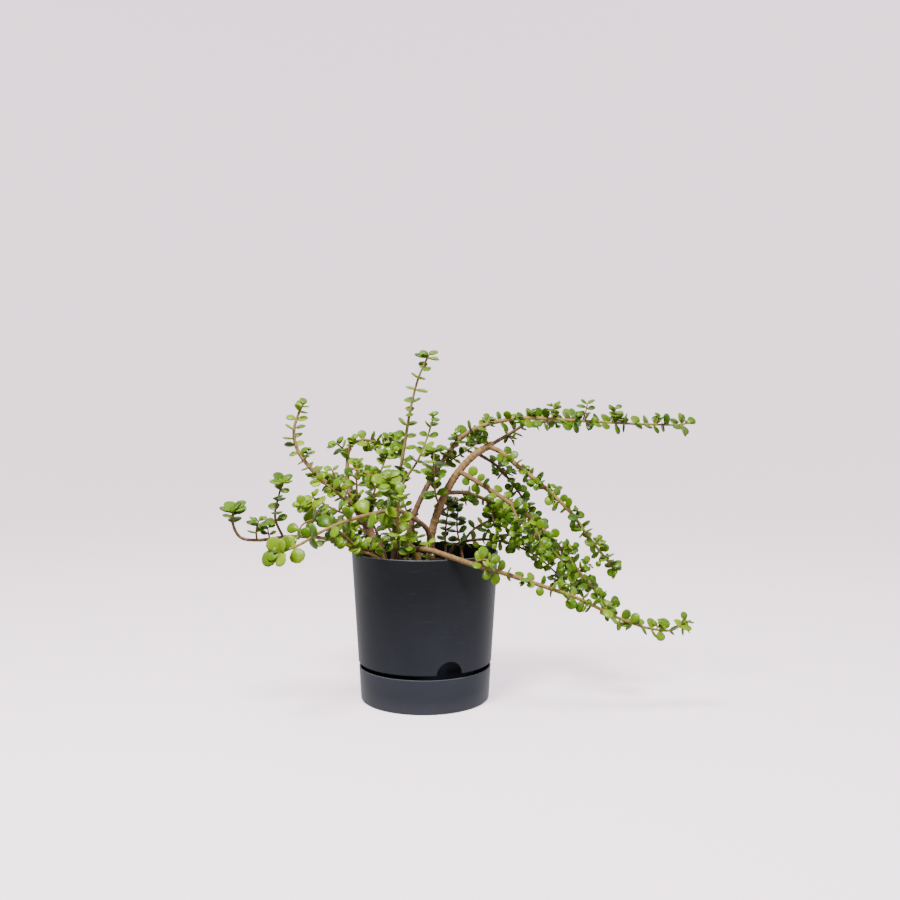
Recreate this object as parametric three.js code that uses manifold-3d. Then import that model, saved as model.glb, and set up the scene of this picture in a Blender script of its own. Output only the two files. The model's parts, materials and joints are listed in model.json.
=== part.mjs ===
// Dwarf jade (elephant bush) in a self-watering pot with its saucer.
// Millimetres, +Z up. The origin is the centre of the saucer's underside, on the pot's axis.
// -Y is the front, where the filling notch shows, and +X is the side that most stems trail to.

import * as THREE from 'three';
import { mergeVertices } from 'three/addons/utils/BufferGeometryUtils.js';
import Module from 'manifold-3d';

const wasm = await Module();
wasm.setup();

// Driving dimensions: pot and saucer

const GAP = 0.3;
const SIDES_ROUND = 32;
const WALL = 2.2;

const SAUCER_BASE_RADIUS = 79.7;
const SAUCER_RIM_RADIUS = 81.9;
const SAUCER_HEIGHT = 41.4;
const SAUCER_FLOOR = 3;
const SAUCER_EDGE = 2;

const POT_HEIGHT = 182.5;
const POT_RIM_RADIUS = 91;
const SKIRT_EDGE_HEIGHT = 46.6;
const SKIRT_EDGE_RADIUS = 82.6;
const SHELF_HEIGHT = 66;
const NECK_TOP_RADIUS = 64;
const NECK_BASE_RADIUS = 60;
const POT_FLOOR_HEIGHT = 22;
const CUP_TOP_RADIUS = 20;
const CUP_BASE_RADIUS = 17;
const SKIRT_CHAMFER = 1;
const RIM_CHAMFER = 0.6;

const NOTCH_RADIUS = 16;
const NOTCH_TURN = 22;
const NOTCH_DEPTH = 6;

const FOOT_COUNT = 4;
const FOOT_RADIUS = 6;
const FOOT_CIRCLE = 46;
const DRAIN_COUNT = 8;
const DRAIN_RADIUS = 3.5;
const DRAIN_CIRCLE = 34;
const WICK_SLOTS = 6;
const WICK_SLOT_WIDTH = 5;
const WICK_SLOT_HEIGHT = 9;
const CUT_MARGIN = 1;

// Driving dimensions: potting mix, stems and leaves. A leaf's width, the place where it is widest, its
// fold, its lean towards the stem's tip and its lift are parts of its length, and turns are in degrees.

const SOIL_LEVEL = 160;
const SOIL_CROWN = 163;
const CROWN_SHOULDER = 0.5;

// A stem over TWIG_DIAMETER thick has one side more. Every second leaf pair is built here.

const TUBE_STEP = 15;
const TWIG_DIAMETER = 5;
const TWIG_SIDES = 5;
const STEM_SIDES = 6;
const LEAF_WIDTH = 0.78;
const LEAF_WIDEST = 0.6;
const LEAF_FOLD = 0.26;
const LEAF_LEAN = 0.25;
const LEAF_LIFT = 0.15;
const LEAF_CLEARANCE = 0.3;
const LEAF_SMALLEST = 0.85;
const LEAF_SIZE_SPREAD = 0.3;
const LEAF_SHIFT = 3;
const LAST_LEAF = 0.985;
const FIRST_PAIR_TURN = 50;
const PAIR_TURN = 90;
const TURN_SPREAD = 40;
const PAIRS_SKIPPED = 1;

const POT_COLOUR = 0x3e4149;
const SAUCER_COLOUR = 0x41444c;
const SOIL_COLOUR = 0x2b211b;
const BARK_COLOUR = 0x8d6a56;
const WOOD_COLOUR = 0xa5806a;
const LEAF_COLOUR = 0x7fa52b;

// Stems. route is a list of points [x, y, z] on the stem's middle line, from its base to its tip.
// thick is its diameter at the base and at the tip. leafy is the part of its length that bears
// leaves, every is the way from one leaf pair to the next, and leaf is a full leaf's length.

const STEMS = [
  {
    name: 'main_trunk',
    thick: [11, 8.5],
    route: [[10, 5, 128], [7, 1, 167], [8, 0, 202], [19, 2, 239], [38, 8, 275], [62, 15, 301],
      [85, 20, 315]],
  },
  {
    name: 'crest_branch', from: 'main_trunk',
    thick: [5, 2.4], leafy: [0.2, 1], every: 11, leaf: 14,
    route: [[83, 19, 314], [106, 28, 327], [129, 36, 340], [150, 42, 343], [172, 48, 344], [192, 53, 349]],
  },
  {
    name: 'tan_whip', from: 'main_trunk',
    thick: [6.5, 3], leafy: [0.1, 1], every: 10, leaf: 14,
    route: [[79, 18, 312], [95, 14, 305], [113, 8, 290], [150, 0, 260], [180, -6, 231], [205, -8, 197],
      [227, -5, 170], [237, 0, 158]],
  },
  {
    name: 'middle_whip', from: 'main_trunk',
    thick: [6.5, 2.6], leafy: [0.06, 1], every: 14, leaf: 14,
    route: [[42, 9, 281], [69, -10, 266], [99, -25, 247], [128, -33, 226], [153, -38, 203],
      [179, -42, 171], [205, -42, 140], [227, -38, 118]],
  },
  {
    name: 'lower_whip', from: 'main_trunk',
    thick: [5.5, 2.2], leafy: [0.14, 1], every: 11, leaf: 14,
    route: [[26, 5, 254], [51, 18, 253], [76, 27, 244], [104, 29, 229], [135, 25, 204], [162, 20, 179],
      [186, 18, 151], [197, 18, 134]],
  },
  {
    name: 'back_whip', from: 'main_trunk',
    thick: [4.5, 2], leafy: [0.15, 1], every: 11, leaf: 13,
    route: [[66, 17, 303], [92, 36, 286], [112, 50, 263], [132, 60, 235], [150, 68, 204], [168, 72, 171]],
  },
  {
    name: 'trunk_front_shoot', from: 'main_trunk',
    thick: [3, 2], leafy: [0.2, 1], every: 9, leaf: 17,
    route: [[19, 2, 239], [14, -5, 249], [12, -10, 263], [11, -13, 279], [11, -13, 294], [12, -12, 307]],
  },
  {
    name: 'upper_arch',
    thick: [8.5, 2.2], leafy: [0.32, 1], every: 12, leaf: 15,
    route: [[-26, 12, 128], [-24, 12, 175], [-15, 14, 223], [2, 22, 261], [24, 28, 296], [47, 22, 324],
      [76, 14, 339], [119, 4, 347], [186, -10, 344], [258, -18, 340], [312, -22, 339], [320, -24, 341]],
  },
  {
    name: 'arch_side_shoot', from: 'upper_arch',
    thick: [2.8, 1.8], leafy: [0.2, 1], every: 11, leaf: 13,
    route: [[15, 26, 284], [39, 39, 298], [62, 51, 312], [74, 56, 324]],
  },
  {
    name: 'arch_spur_1', from: 'upper_arch',
    thick: [2, 1.6], leafy: [0.3, 1], every: 8, leaf: 12,
    route: [[159, -5, 346], [160, -7, 354], [159, -8, 362]],
  },
  {
    name: 'arch_spur_2', from: 'upper_arch',
    thick: [2, 1.6], leafy: [0.3, 1], every: 8, leaf: 12,
    route: [[195, -11, 345], [198, -12, 355], [200, -13, 365]],
  },
  {
    name: 'arch_spur_3', from: 'upper_arch',
    thick: [2, 1.6], leafy: [0.3, 1], every: 8, leaf: 12,
    route: [[230, -15, 343], [232, -17, 352], [233, -19, 359]],
  },
  {
    name: 'arch_hanging_spur', from: 'upper_arch',
    thick: [2.2, 1.6], leafy: [0.3, 1], every: 9, leaf: 12,
    route: [[77, 15, 338], [72, 23, 331], [67, 30, 322], [62, 36, 314]],
  },
  {
    name: 'front_whip',
    thick: [8, 2.4], leafy: [0.41, 1], every: 13, leaf: 14,
    route: [[-28, -30, 128], [-32, -35, 172], [-23, -45, 186], [1, -65, 192], [29, -85, 187],
      [57, -97, 179], [88, -102, 171], [134, -102, 156], [180, -97, 139], [225, -88, 116],
      [264, -80, 102], [290, -74, 99], [307, -70, 109]],
  },
  {
    name: 'front_whip_shoot', from: 'front_whip',
    thick: [2.8, 1.8], leafy: [0.3, 1], every: 7, leaf: 14,
    route: [[57, -97, 179], [63, -103, 184], [71, -108, 186], [79, -111, 184]],
  },
  {
    name: 'rim_whip',
    thick: [5, 2], leafy: [0.3, 1], every: 12, leaf: 13,
    route: [[30, 34, 130], [30, 39, 168], [38, 44, 183], [58, 50, 189], [90, 52, 189], [117, 48, 182],
      [143, 44, 169], [166, 40, 150], [189, 36, 127]],
  },
  {
    name: 'tall_shoot',
    thick: [6.5, 2.6], leafy: [0.4, 1], every: 15, leaf: 16,
    route: [[-43, 20, 128], [-41, 20, 174], [-40, 22, 205], [-35, 26, 261], [-27, 30, 313],
      [-19, 30, 361], [-9, 28, 399], [4, 26, 428]],
  },
  {
    name: 'second_shoot', from: 'tall_shoot',
    thick: [4, 2], leafy: [0.3, 1], every: 12, leaf: 14,
    route: [[-38, 24, 240], [-26, 14, 269], [-10, 10, 293], [1, 11, 319], [8, 12, 341], [10, 12, 350]],
  },
  {
    name: 'left_trunk',
    thick: [11, 2.8], leafy: [0.42, 1], every: 11, leaf: 14,
    route: [[-38, -18, 128], [-53, -22, 182], [-71, -18, 213], [-91, -10, 242], [-115, -6, 261],
      [-142, -2, 285], [-159, 2, 308], [-164, 6, 332], [-158, 10, 355], [-153, 12, 366]],
  },
  {
    name: 'fork_stem', from: 'left_trunk',
    thick: [6.5, 2.4], leafy: [0.42, 1], every: 10, leaf: 15,
    route: [[-87, -11, 238], [-96, 4, 261], [-98, 13, 291], [-95, 21, 312], [-79, 35, 320],
      [-51, 47, 313], [-38, 52, 317]],
  },
  {
    name: 'fork_twig_left', from: 'fork_stem',
    thick: [2.6, 1.8], leafy: [0.5, 1], every: 8, leaf: 14,
    route: [[-98, 15, 300], [-103, 14, 308], [-112, 11, 316]],
  },
  {
    name: 'fork_twig_right', from: 'fork_stem',
    thick: [2.6, 1.8], leafy: [0.2, 1], every: 10, leaf: 14,
    route: [[-97, 11, 286], [-90, 3, 284], [-82, -4, 281], [-72, -11, 279], [-62, -18, 276]],
  },
  {
    name: 'left_long_stem',
    thick: [5.5, 3.2], leafy: [0.94, 1], every: 7, leaf: 15,
    route: [[-40, -38, 132], [-53, -47, 176], [-76, -51, 189], [-110, -59, 203], [-153, -70, 208],
      [-193, -82, 205], [-210, -87, 209], [-218, -88, 224], [-218, -86, 241]],
  },
  {
    name: 'left_twig_1', from: 'left_long_stem',
    thick: [2.4, 1.8], leafy: [0.4, 1], every: 9, leaf: 14,
    route: [[-192, -82, 205], [-192, -85, 217], [-189, -86, 228]],
  },
  {
    name: 'left_twig_2', from: 'left_long_stem',
    thick: [2, 1.6], leafy: [0.4, 1], every: 8, leaf: 10,
    route: [[-178, -78, 206], [-179, -80, 213], [-180, -80, 220]],
  },
  {
    name: 'left_twig_3', from: 'left_long_stem',
    thick: [3.4, 2], leafy: [0.3, 1], every: 13, leaf: 15,
    route: [[-163, -73, 207], [-170, -79, 225], [-171, -82, 236], [-167, -80, 256], [-163, -79, 272]],
  },
  {
    name: 'sweeping_stem',
    thick: [7.5, 2.6], leafy: [0.52, 1], every: 12, leaf: 20,
    route: [[12, -12, 130], [9, -20, 180], [3, -31, 212], [-13, -46, 227], [-32, -62, 238],
      [-59, -78, 235], [-88, -94, 228], [-115, -110, 217], [-136, -126, 205], [-155, -139, 198]],
  },
  {
    name: 'low_left_shoot',
    thick: [5, 2.2], leafy: [0.35, 1], every: 10, leaf: 16,
    route: [[-52, -26, 134], [-62, -34, 180], [-81, -46, 198], [-102, -60, 213], [-120, -72, 233],
      [-137, -82, 247]],
  },
  {
    name: 'front_left_shoot', from: 'left_trunk',
    thick: [3.4, 2], leafy: [0.15, 1], every: 10, leaf: 16,
    route: [[-71, -18, 212], [-82, -35, 224], [-94, -48, 232], [-107, -57, 239], [-130, -70, 254]],
  },
  {
    name: 'upper_left_shoot', from: 'left_trunk',
    thick: [3.2, 2], leafy: [0.15, 1], every: 10, leaf: 14,
    route: [[-82, -14, 229], [-90, -27, 242], [-101, -38, 253], [-112, -46, 264], [-126, -50, 272]],
  },
  {
    name: 'front_centre_shoot', from: 'tall_shoot',
    thick: [4, 2.2], leafy: [0.25, 1], every: 10, leaf: 18,
    route: [[-40, 21, 204], [-41, -2, 222], [-42, -26, 240], [-43, -46, 256], [-44, -58, 270]],
  },
  {
    name: 'front_riser',
    thick: [4.5, 2.2], leafy: [0.3, 1], every: 11, leaf: 17,
    route: [[-24, -34, 132], [-30, -52, 189], [-30, -67, 217], [-29, -78, 240], [-26, -84, 258]],
  },
  {
    name: 'centre_shoot', from: 'left_trunk',
    thick: [4, 2.2], leafy: [0.25, 1], every: 10, leaf: 14,
    route: [[-61, -20, 197], [-66, -10, 218], [-66, -2, 240], [-61, 8, 265], [-52, 12, 291], [-48, 12, 302]],
  },
  {
    name: 'centre_left_shoot', from: 'left_trunk',
    thick: [3.4, 2], leafy: [0.2, 1], every: 10, leaf: 14,
    route: [[-78, -15, 224], [-81, -24, 243], [-82, -29, 262], [-82, -30, 292]],
  },
  {
    name: 'left_riser', from: 'left_trunk',
    thick: [3, 2], leafy: [0.2, 1], every: 9, leaf: 13,
    route: [[-101, -8, 250], [-105, -17, 262], [-109, -22, 273], [-112, -26, 284]],
  },
  {
    name: 'left_fan_shoot', from: 'left_trunk',
    thick: [3, 2], leafy: [0.2, 1], every: 9, leaf: 14,
    route: [[-115, -6, 262], [-119, 4, 264], [-126, 12, 266], [-134, 18, 270], [-142, 22, 277]],
  },
  {
    name: 'left_hanging_shoot', from: 'left_long_stem',
    thick: [3, 2], leafy: [0.3, 1], every: 11, leaf: 16,
    route: [[-76, -51, 189], [-92, -64, 208], [-103, -77, 218], [-115, -88, 225], [-127, -95, 229],
      [-137, -100, 224], [-142, -103, 210]],
  },
  {
    name: 'rim_sprout_1',
    thick: [2.6, 1.8], leafy: [0.72, 1], every: 9, leaf: 13,
    route: [[-16, -50, 138], [-18, -60, 176], [-19, -68, 194], [-19, -71, 206]],
  },
  {
    name: 'rim_sprout_2',
    thick: [2.4, 1.8], leafy: [0.72, 1], every: 10, leaf: 13,
    route: [[6, -46, 138], [7, -52, 170], [6, -56, 186], [6, -58, 198]],
  },
  {
    name: 'rim_sprout_3',
    thick: [2.4, 1.8], leafy: [0.75, 1], every: 9, leaf: 12,
    route: [[-40, -52, 140], [-43, -60, 178], [-47, -66, 194], [-50, -69, 203]],
  },
  {
    name: 'pale_stump',
    thick: [9, 7],
    route: [[-8, -22, 134], [-9, -30, 172], [-12, -34, 187], [-20, -38, 195]],
  },
  {
    name: 'back_shoot_1',
    thick: [3.4, 2], leafy: [0.5, 1], every: 9, leaf: 14,
    route: [[26, 18, 132], [26, 22, 169], [25, 26, 192], [26, 30, 211], [30, 34, 240]],
  },
  {
    name: 'back_shoot_2',
    thick: [3.4, 2], leafy: [0.5, 1], every: 9, leaf: 14,
    route: [[50, 28, 134], [47, 33, 172], [42, 38, 194], [40, 44, 212], [42, 50, 230]],
  },
  {
    name: 'thin_branch', from: 'main_trunk',
    thick: [3.4, 2], leafy: [0.35, 1], every: 10, leaf: 13,
    route: [[11, 0, 213], [18, 10, 226], [27, 17, 234], [38, 26, 241], [50, 36, 246]],
  },
  {
    name: 'hanging_shoot_1', from: 'lower_whip',
    thick: [2.8, 1.8], leafy: [0.15, 1], every: 10, leaf: 14,
    route: [[84, 28, 241], [84, 24, 231], [86, 22, 219], [90, 20, 208], [94, 20, 197]],
  },
  {
    name: 'hanging_shoot_2', from: 'middle_whip',
    thick: [2.8, 1.8], leafy: [0.15, 1], every: 10, leaf: 14,
    route: [[105, -26, 243], [109, -36, 234], [112, -42, 224], [114, -44, 214], [113, -44, 204]],
  },
  {
    name: 'hanging_shoot_3', from: 'lower_whip',
    thick: [2.8, 1.8], leafy: [0.15, 1], every: 9, leaf: 14,
    route: [[104, 29, 229], [106, 22, 220], [110, 18, 210], [115, 16, 200], [119, 16, 190]],
  },
  {
    name: 'hanging_shoot_4', from: 'middle_whip',
    thick: [2.8, 1.8], leafy: [0.15, 1], every: 9, leaf: 13,
    route: [[128, -33, 226], [133, -43, 217], [137, -49, 206], [140, -52, 194]],
  },
  {
    name: 'low_left_side_shoot', from: 'low_left_shoot',
    thick: [2.8, 1.8], leafy: [0.3, 1], every: 10, leaf: 15,
    route: [[-81, -46, 198], [-92, -62, 203], [-103, -75, 205], [-113, -84, 204]],
  },
  {
    name: 'back_left_shoot',
    thick: [4.5, 2.2], leafy: [0.3, 1], every: 11, leaf: 14,
    route: [[-50, 26, 132], [-60, 44, 190], [-80, 58, 225], [-105, 66, 250], [-125, 70, 268]],
  },
  {
    name: 'back_upright_shoot',
    thick: [4.5, 2.2], leafy: [0.3, 1], every: 11, leaf: 14,
    route: [[-30, 38, 132], [-40, 56, 185], [-60, 72, 220], [-75, 84, 250], [-82, 90, 275]],
  },
  {
    name: 'back_low_shoot',
    thick: [4.5, 2.2], leafy: [0.35, 1], every: 11, leaf: 14,
    route: [[-64, 22, 134], [-71, 37, 186], [-86, 57, 204], [-106, 76, 212], [-135, 86, 215],
      [-155, 92, 228]],
  },
  {
    name: 'back_centre_shoot',
    thick: [4, 2.2], leafy: [0.35, 1], every: 11, leaf: 13,
    route: [[-6, 42, 132], [-10, 56, 180], [-22, 68, 215], [-34, 76, 245], [-40, 80, 270]],
  },
  {
    name: 'back_trailing_shoot',
    thick: [4, 2], leafy: [0.4, 1], every: 11, leaf: 13,
    route: [[44, 48, 134], [50, 60, 186], [70, 74, 206], [100, 84, 214], [135, 94, 205], [165, 100, 180]],
  },
];

// Joining and cutting

const radians = THREE.MathUtils.degToRad;

function solid(geometry) {
  const bare = geometry.clone();
  bare.deleteAttribute('normal');
  bare.deleteAttribute('uv');
  const merged = mergeVertices(bare, 1e-3);
  return new wasm.Manifold(new wasm.Mesh({
    numProp: 3,
    vertProperties: merged.getAttribute('position').array,
    triVerts: new Uint32Array(merged.index.array),
  }));
}

function geometryOf(made) {
  const mesh = made.getMesh();
  const geometry = new THREE.BufferGeometry();
  geometry.setAttribute('position', new THREE.BufferAttribute(new Float32Array(mesh.vertProperties), 3));
  geometry.setIndex(new THREE.BufferAttribute(new Uint32Array(mesh.triVerts), 1));
  return geometry;
}

// A body turned about the pot's axis from [radius, height] points.
function turned(points) {
  const outline = points.map(([radius, height]) => new THREE.Vector2(radius, height));
  const lathe = new THREE.LatheGeometry(outline, SIDES_ROUND);
  lathe.rotateX(Math.PI / 2);
  return solid(lathe);
}

// An upright round peg between two heights.
function peg(radius, low, high, x = 0, y = 0, sides = 8) {
  const shape = new THREE.CylinderGeometry(radius, radius, high - low, sides);
  shape.rotateX(Math.PI / 2);
  shape.translate(x, y, (low + high) / 2);
  return solid(shape);
}

// A point at a radius and an angle, counted from the front towards +X.
function around(radius, degrees) {
  return [radius * Math.sin(radians(degrees)), -radius * Math.cos(radians(degrees))];
}

// The saucer is the water reservoir.
function makeSaucer() {
  return turned([
    [0, 0],
    [SAUCER_BASE_RADIUS - SAUCER_EDGE, 0],
    [SAUCER_BASE_RADIUS, SAUCER_EDGE],
    [SAUCER_RIM_RADIUS, SAUCER_HEIGHT],
    [SAUCER_RIM_RADIUS - WALL, SAUCER_HEIGHT],
    [SAUCER_BASE_RADIUS - WALL, SAUCER_FLOOR + SAUCER_EDGE],
    [SAUCER_BASE_RADIUS - WALL - SAUCER_EDGE, SAUCER_FLOOR],
    [0, SAUCER_FLOOR],
  ]);
}

// Outer radius of the pot's wall at a height.
function wallRadius(height) {
  const part = (height - SKIRT_EDGE_HEIGHT) / (POT_HEIGHT - SKIRT_EDGE_HEIGHT);
  return THREE.MathUtils.lerp(SKIRT_EDGE_RADIUS, POT_RIM_RADIUS, part);
}

// The pot is one moulding: wall and skirt, shelf, neck, floor on feet, and wick cup.
function makePot() {
  const stand = SAUCER_FLOOR + GAP;
  const shelfTop = SHELF_HEIGHT + WALL;
  const floorTop = POT_FLOOR_HEIGHT + WALL;
  let pot = turned([
    [0, stand],
    [CUP_BASE_RADIUS, stand],
    [CUP_TOP_RADIUS, POT_FLOOR_HEIGHT],
    [NECK_BASE_RADIUS, POT_FLOOR_HEIGHT],
    [NECK_TOP_RADIUS, SHELF_HEIGHT],
    [wallRadius(SHELF_HEIGHT) - WALL, SHELF_HEIGHT],
    [SKIRT_EDGE_RADIUS - WALL, SKIRT_EDGE_HEIGHT],
    [SKIRT_EDGE_RADIUS - SKIRT_CHAMFER, SKIRT_EDGE_HEIGHT],
    [SKIRT_EDGE_RADIUS, SKIRT_EDGE_HEIGHT + SKIRT_CHAMFER],
    [POT_RIM_RADIUS, POT_HEIGHT - RIM_CHAMFER],
    [POT_RIM_RADIUS - RIM_CHAMFER, POT_HEIGHT],
    [POT_RIM_RADIUS - WALL, POT_HEIGHT],
    [wallRadius(shelfTop) - WALL, shelfTop],
    [NECK_TOP_RADIUS - WALL, shelfTop],
    [NECK_BASE_RADIUS - WALL, floorTop],
    [CUP_TOP_RADIUS - WALL, floorTop],
    [CUP_BASE_RADIUS - WALL, stand + WALL],
    [0, stand + WALL],
  ]);
  for (let i = 0; i < FOOT_COUNT; i += 1) {
    const [x, y] = around(FOOT_CIRCLE, 45 + (i * 360) / FOOT_COUNT);
    pot = pot.add(peg(FOOT_RADIUS, stand, POT_FLOOR_HEIGHT + WALL / 2, x, y));
  }
  for (let i = 0; i < DRAIN_COUNT; i += 1) {
    const [x, y] = around(DRAIN_CIRCLE, (i * 360) / DRAIN_COUNT);
    const drain = peg(DRAIN_RADIUS, POT_FLOOR_HEIGHT - CUT_MARGIN, floorTop + CUT_MARGIN, x, y, 6);
    pot = pot.subtract(drain);
  }
  for (let i = 0; i < WICK_SLOTS; i += 1) {
    const slot = new THREE.BoxGeometry(WICK_SLOT_WIDTH, 3 * WALL, WICK_SLOT_HEIGHT);
    slot.translate(0, -(CUP_BASE_RADIUS + CUP_TOP_RADIUS - WALL) / 2, (stand + POT_FLOOR_HEIGHT) / 2);
    slot.rotateZ(radians((i * 360) / WICK_SLOTS));
    pot = pot.subtract(solid(slot));
  }
  return pot.subtract(makeNotch());
}

// The half-round filling notch is cut through the skirt only.
function makeNotch() {
  const cut = new THREE.CylinderGeometry(NOTCH_RADIUS, NOTCH_RADIUS, 3 * NOTCH_DEPTH, 20);
  cut.translate(0, -SKIRT_EDGE_RADIUS, 0);
  cut.translate(0, 0, SKIRT_EDGE_HEIGHT);
  cut.rotateZ(radians(NOTCH_TURN));
  return solid(cut);
}

// Potting mix fills the wick cup, the neck and the pot, with a low crown in the middle.
function makeMix() {
  const inset = WALL + GAP;
  const cupFloor = SAUCER_FLOOR + GAP + inset;
  const floorTop = POT_FLOOR_HEIGHT + inset;
  const shelfTop = SHELF_HEIGHT + inset;
  return turned([
    [0, cupFloor],
    [CUP_BASE_RADIUS - inset, cupFloor],
    [CUP_TOP_RADIUS - inset, floorTop],
    [NECK_BASE_RADIUS - inset, floorTop],
    [NECK_TOP_RADIUS - inset, shelfTop],
    [wallRadius(shelfTop) - inset, shelfTop],
    [wallRadius(SOIL_LEVEL) - inset, SOIL_LEVEL],
    [CROWN_SHOULDER * POT_RIM_RADIUS, SOIL_CROWN - 1],
    [0, SOIL_CROWN],
  ]);
}

// Stems and leaves

function curveOf(stem) {
  const points = stem.route.map(([x, y, z]) => new THREE.Vector3(x, y, z));
  return new THREE.CatmullRomCurve3(points, false, 'centripetal');
}

function stepsOf(curve) {
  return Math.max(2, Math.round(curve.getLength() / TUBE_STEP));
}

// The point at a part of the length, on the straight stretch between two steps of the tube.
function middleOf(curve, part) {
  const steps = stepsOf(curve);
  const row = Math.min(Math.floor(part * steps), steps - 1);
  const before = curve.getPointAt(row / steps);
  return before.lerp(curve.getPointAt((row + 1) / steps), part * steps - row);
}

// A straight round section in steps, bent along the stem's curve and tapered.
// grow widens and lengthens it, for the room that it takes in what it stands in.
function stemSolid(stem, grow = 0) {
  const curve = curveOf(stem);
  const steps = stepsOf(curve);
  const sides = stem.thick[0] > TWIG_DIAMETER ? STEM_SIDES : TWIG_SIDES;
  const section = new THREE.Shape();
  for (let i = 0; i < sides; i += 1) {
    const angle = (i * 2 * Math.PI) / sides;
    const move = i === 0 ? 'moveTo' : 'lineTo';
    section[move](Math.cos(angle), Math.sin(angle));
  }
  section.closePath();
  const tube = new THREE.ExtrudeGeometry(section, { depth: 1, steps, bevelEnabled: false });
  const frames = curve.computeFrenetFrames(steps, false);
  const place = tube.getAttribute('position');
  for (let i = 0; i < place.count; i += 1) {
    const part = THREE.MathUtils.clamp(place.getZ(i), 0, 1);
    const row = Math.round(part * steps);
    const radius = THREE.MathUtils.lerp(stem.thick[0], stem.thick[1], part) / 2 + grow;
    const end = Number(row === steps) - Number(row === 0);
    const point = curve.getPointAt(part)
      .addScaledVector(frames.tangents[row], end * grow)
      .addScaledVector(frames.normals[row], radius * place.getX(i))
      .addScaledVector(frames.binormals[row], radius * place.getY(i));
    place.setXYZ(i, point.x, point.y, point.z);
  }
  return solid(tube);
}

// A number from 0 to 1 that is always the same for the same leaf.
function chance(index, turn) {
  const wave = Math.sin(index * 12.9898 + turn * 78.233) * 43758.5453;
  return wave - Math.floor(wave);
}

// One fleshy leaf, folded along its middle like a shallow boat: its keel runs from the base at the
// origin to the tip along +X, and its two raised edges are widest apart past its middle.
function leafGeometry(length) {
  const boat = new THREE.TetrahedronGeometry(1);
  const place = boat.getAttribute('position');
  for (let i = 0; i < place.count; i += 1) {
    const isEdge = place.getZ(i) > 0;
    const along = isEdge ? LEAF_WIDEST : Math.round((Math.sign(place.getX(i)) + 1) / 2);
    const across = isEdge ? Math.sign(place.getY(i)) * LEAF_WIDTH / 2 : 0;
    const rise = isEdge ? LEAF_FOLD : 0;
    place.setXYZ(i, along * length, across * length, rise * length);
  }
  return boat;
}

// Where each leaf of a stem sits: pairs across the stem, each pair turned a quarter from the last.
function leafPlaces(stem) {
  const places = [];
  if (!stem.leafy) return places;
  const curve = curveOf(stem);
  const length = curve.getLength();
  const seed = stem.name.length + stem.route[0][0];
  const start = stem.leafy[0] * length;
  const every = (1 + PAIRS_SKIPPED) * stem.every;
  const pairs = Math.floor((stem.leafy[1] * length - start) / every);
  for (let pair = 0; pair <= pairs; pair += 1) {
    for (const side of [0, 1]) {
      const pick = 2 * pair + side;
      const shift = LEAF_SHIFT * (chance(seed, pick) - 0.5);
      const way = THREE.MathUtils.clamp((start + pair * every + shift) / length, 0, LAST_LEAF);
      const tangent = curve.getTangentAt(way);
      const level = new THREE.Vector3(-tangent.y, tangent.x, 0);
      if (level.lengthSq() < 0.02) level.set(1, 0, 0);
      level.normalize();
      const upper = new THREE.Vector3().crossVectors(tangent, level);
      const stray = TURN_SPREAD * (chance(seed, pick + 40) - 0.5);
      const turn = radians(PAIR_TURN * pair + 180 * side + FIRST_PAIR_TURN + stray);
      const out = level.multiplyScalar(Math.cos(turn)).addScaledVector(upper, Math.sin(turn));
      out.addScaledVector(tangent, LEAF_LEAN);
      out.z += LEAF_LIFT;
      out.normalize();
      const size = stem.leaf * (LEAF_SMALLEST + LEAF_SIZE_SPREAD * chance(seed, pick + 80));
      places.push({ point: middleOf(curve, way), out, tangent, size });
    }
  }
  return places;
}

function leafSolid({ point, out, tangent, size }) {
  const across = new THREE.Vector3().crossVectors(tangent, out).normalize();
  const face = new THREE.Vector3().crossVectors(out, across);
  const leaf = leafGeometry(size);
  leaf.applyMatrix4(new THREE.Matrix4().makeBasis(out, across, face));
  leaf.translate(point.x, point.y, point.z);
  return solid(leaf);
}

// The part

const part = new THREE.Group();

function add(name, made, colour, roughness) {
  const mesh = new THREE.Mesh(
    geometryOf(made), new THREE.MeshStandardMaterial({ color: colour, roughness, metalness: 0 }));
  mesh.name = name;
  part.add(mesh);
}

const byName = new Map(STEMS.map((stem) => [stem.name, stem]));

// Each branch is cut back to the bark of the stem that carries it.
const bareStems = new Map();
for (const stem of STEMS) {
  let made = stemSolid(stem);
  if (stem.from) made = made.subtract(stemSolid(byName.get(stem.from), GAP));
  const [largest] = made.decompose().sort((a, b) => b.volume() - a.volume());
  bareStems.set(stem.name, largest);
}

// Leaves are joined to their stem. One that would touch another stem or its leaves is left off.
const leafed = new Map(bareStems);
function isClear(leaf, own) {
  for (const [name, other] of leafed) {
    if (name !== own && leaf.minGap(other, 2 * LEAF_CLEARANCE) < LEAF_CLEARANCE) return false;
  }
  return true;
}
for (const stem of STEMS) {
  for (const spot of leafPlaces(stem)) {
    const leaf = leafSolid(spot);
    if (isClear(leaf, stem.name)) {
      leafed.set(stem.name, leafed.get(stem.name).add(leaf));
    }
  }
}

let mix = makeMix();
for (const stem of STEMS) {
  if (stem.route[0][2] < SOIL_LEVEL) mix = mix.subtract(stemSolid(stem, GAP));
}

add('saucer', makeSaucer(), SAUCER_COLOUR, 0.5);
add('pot', makePot(), POT_COLOUR, 0.5);
add('potting_mix', mix, SOIL_COLOUR, 0.95);
for (const stem of STEMS) {
  let colour = LEAF_COLOUR;
  if (!stem.leafy) colour = stem.name === 'pale_stump' ? WOOD_COLOUR : BARK_COLOUR;
  add(stem.name, leafed.get(stem.name), colour, 0.45);
}

export default part;
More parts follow.
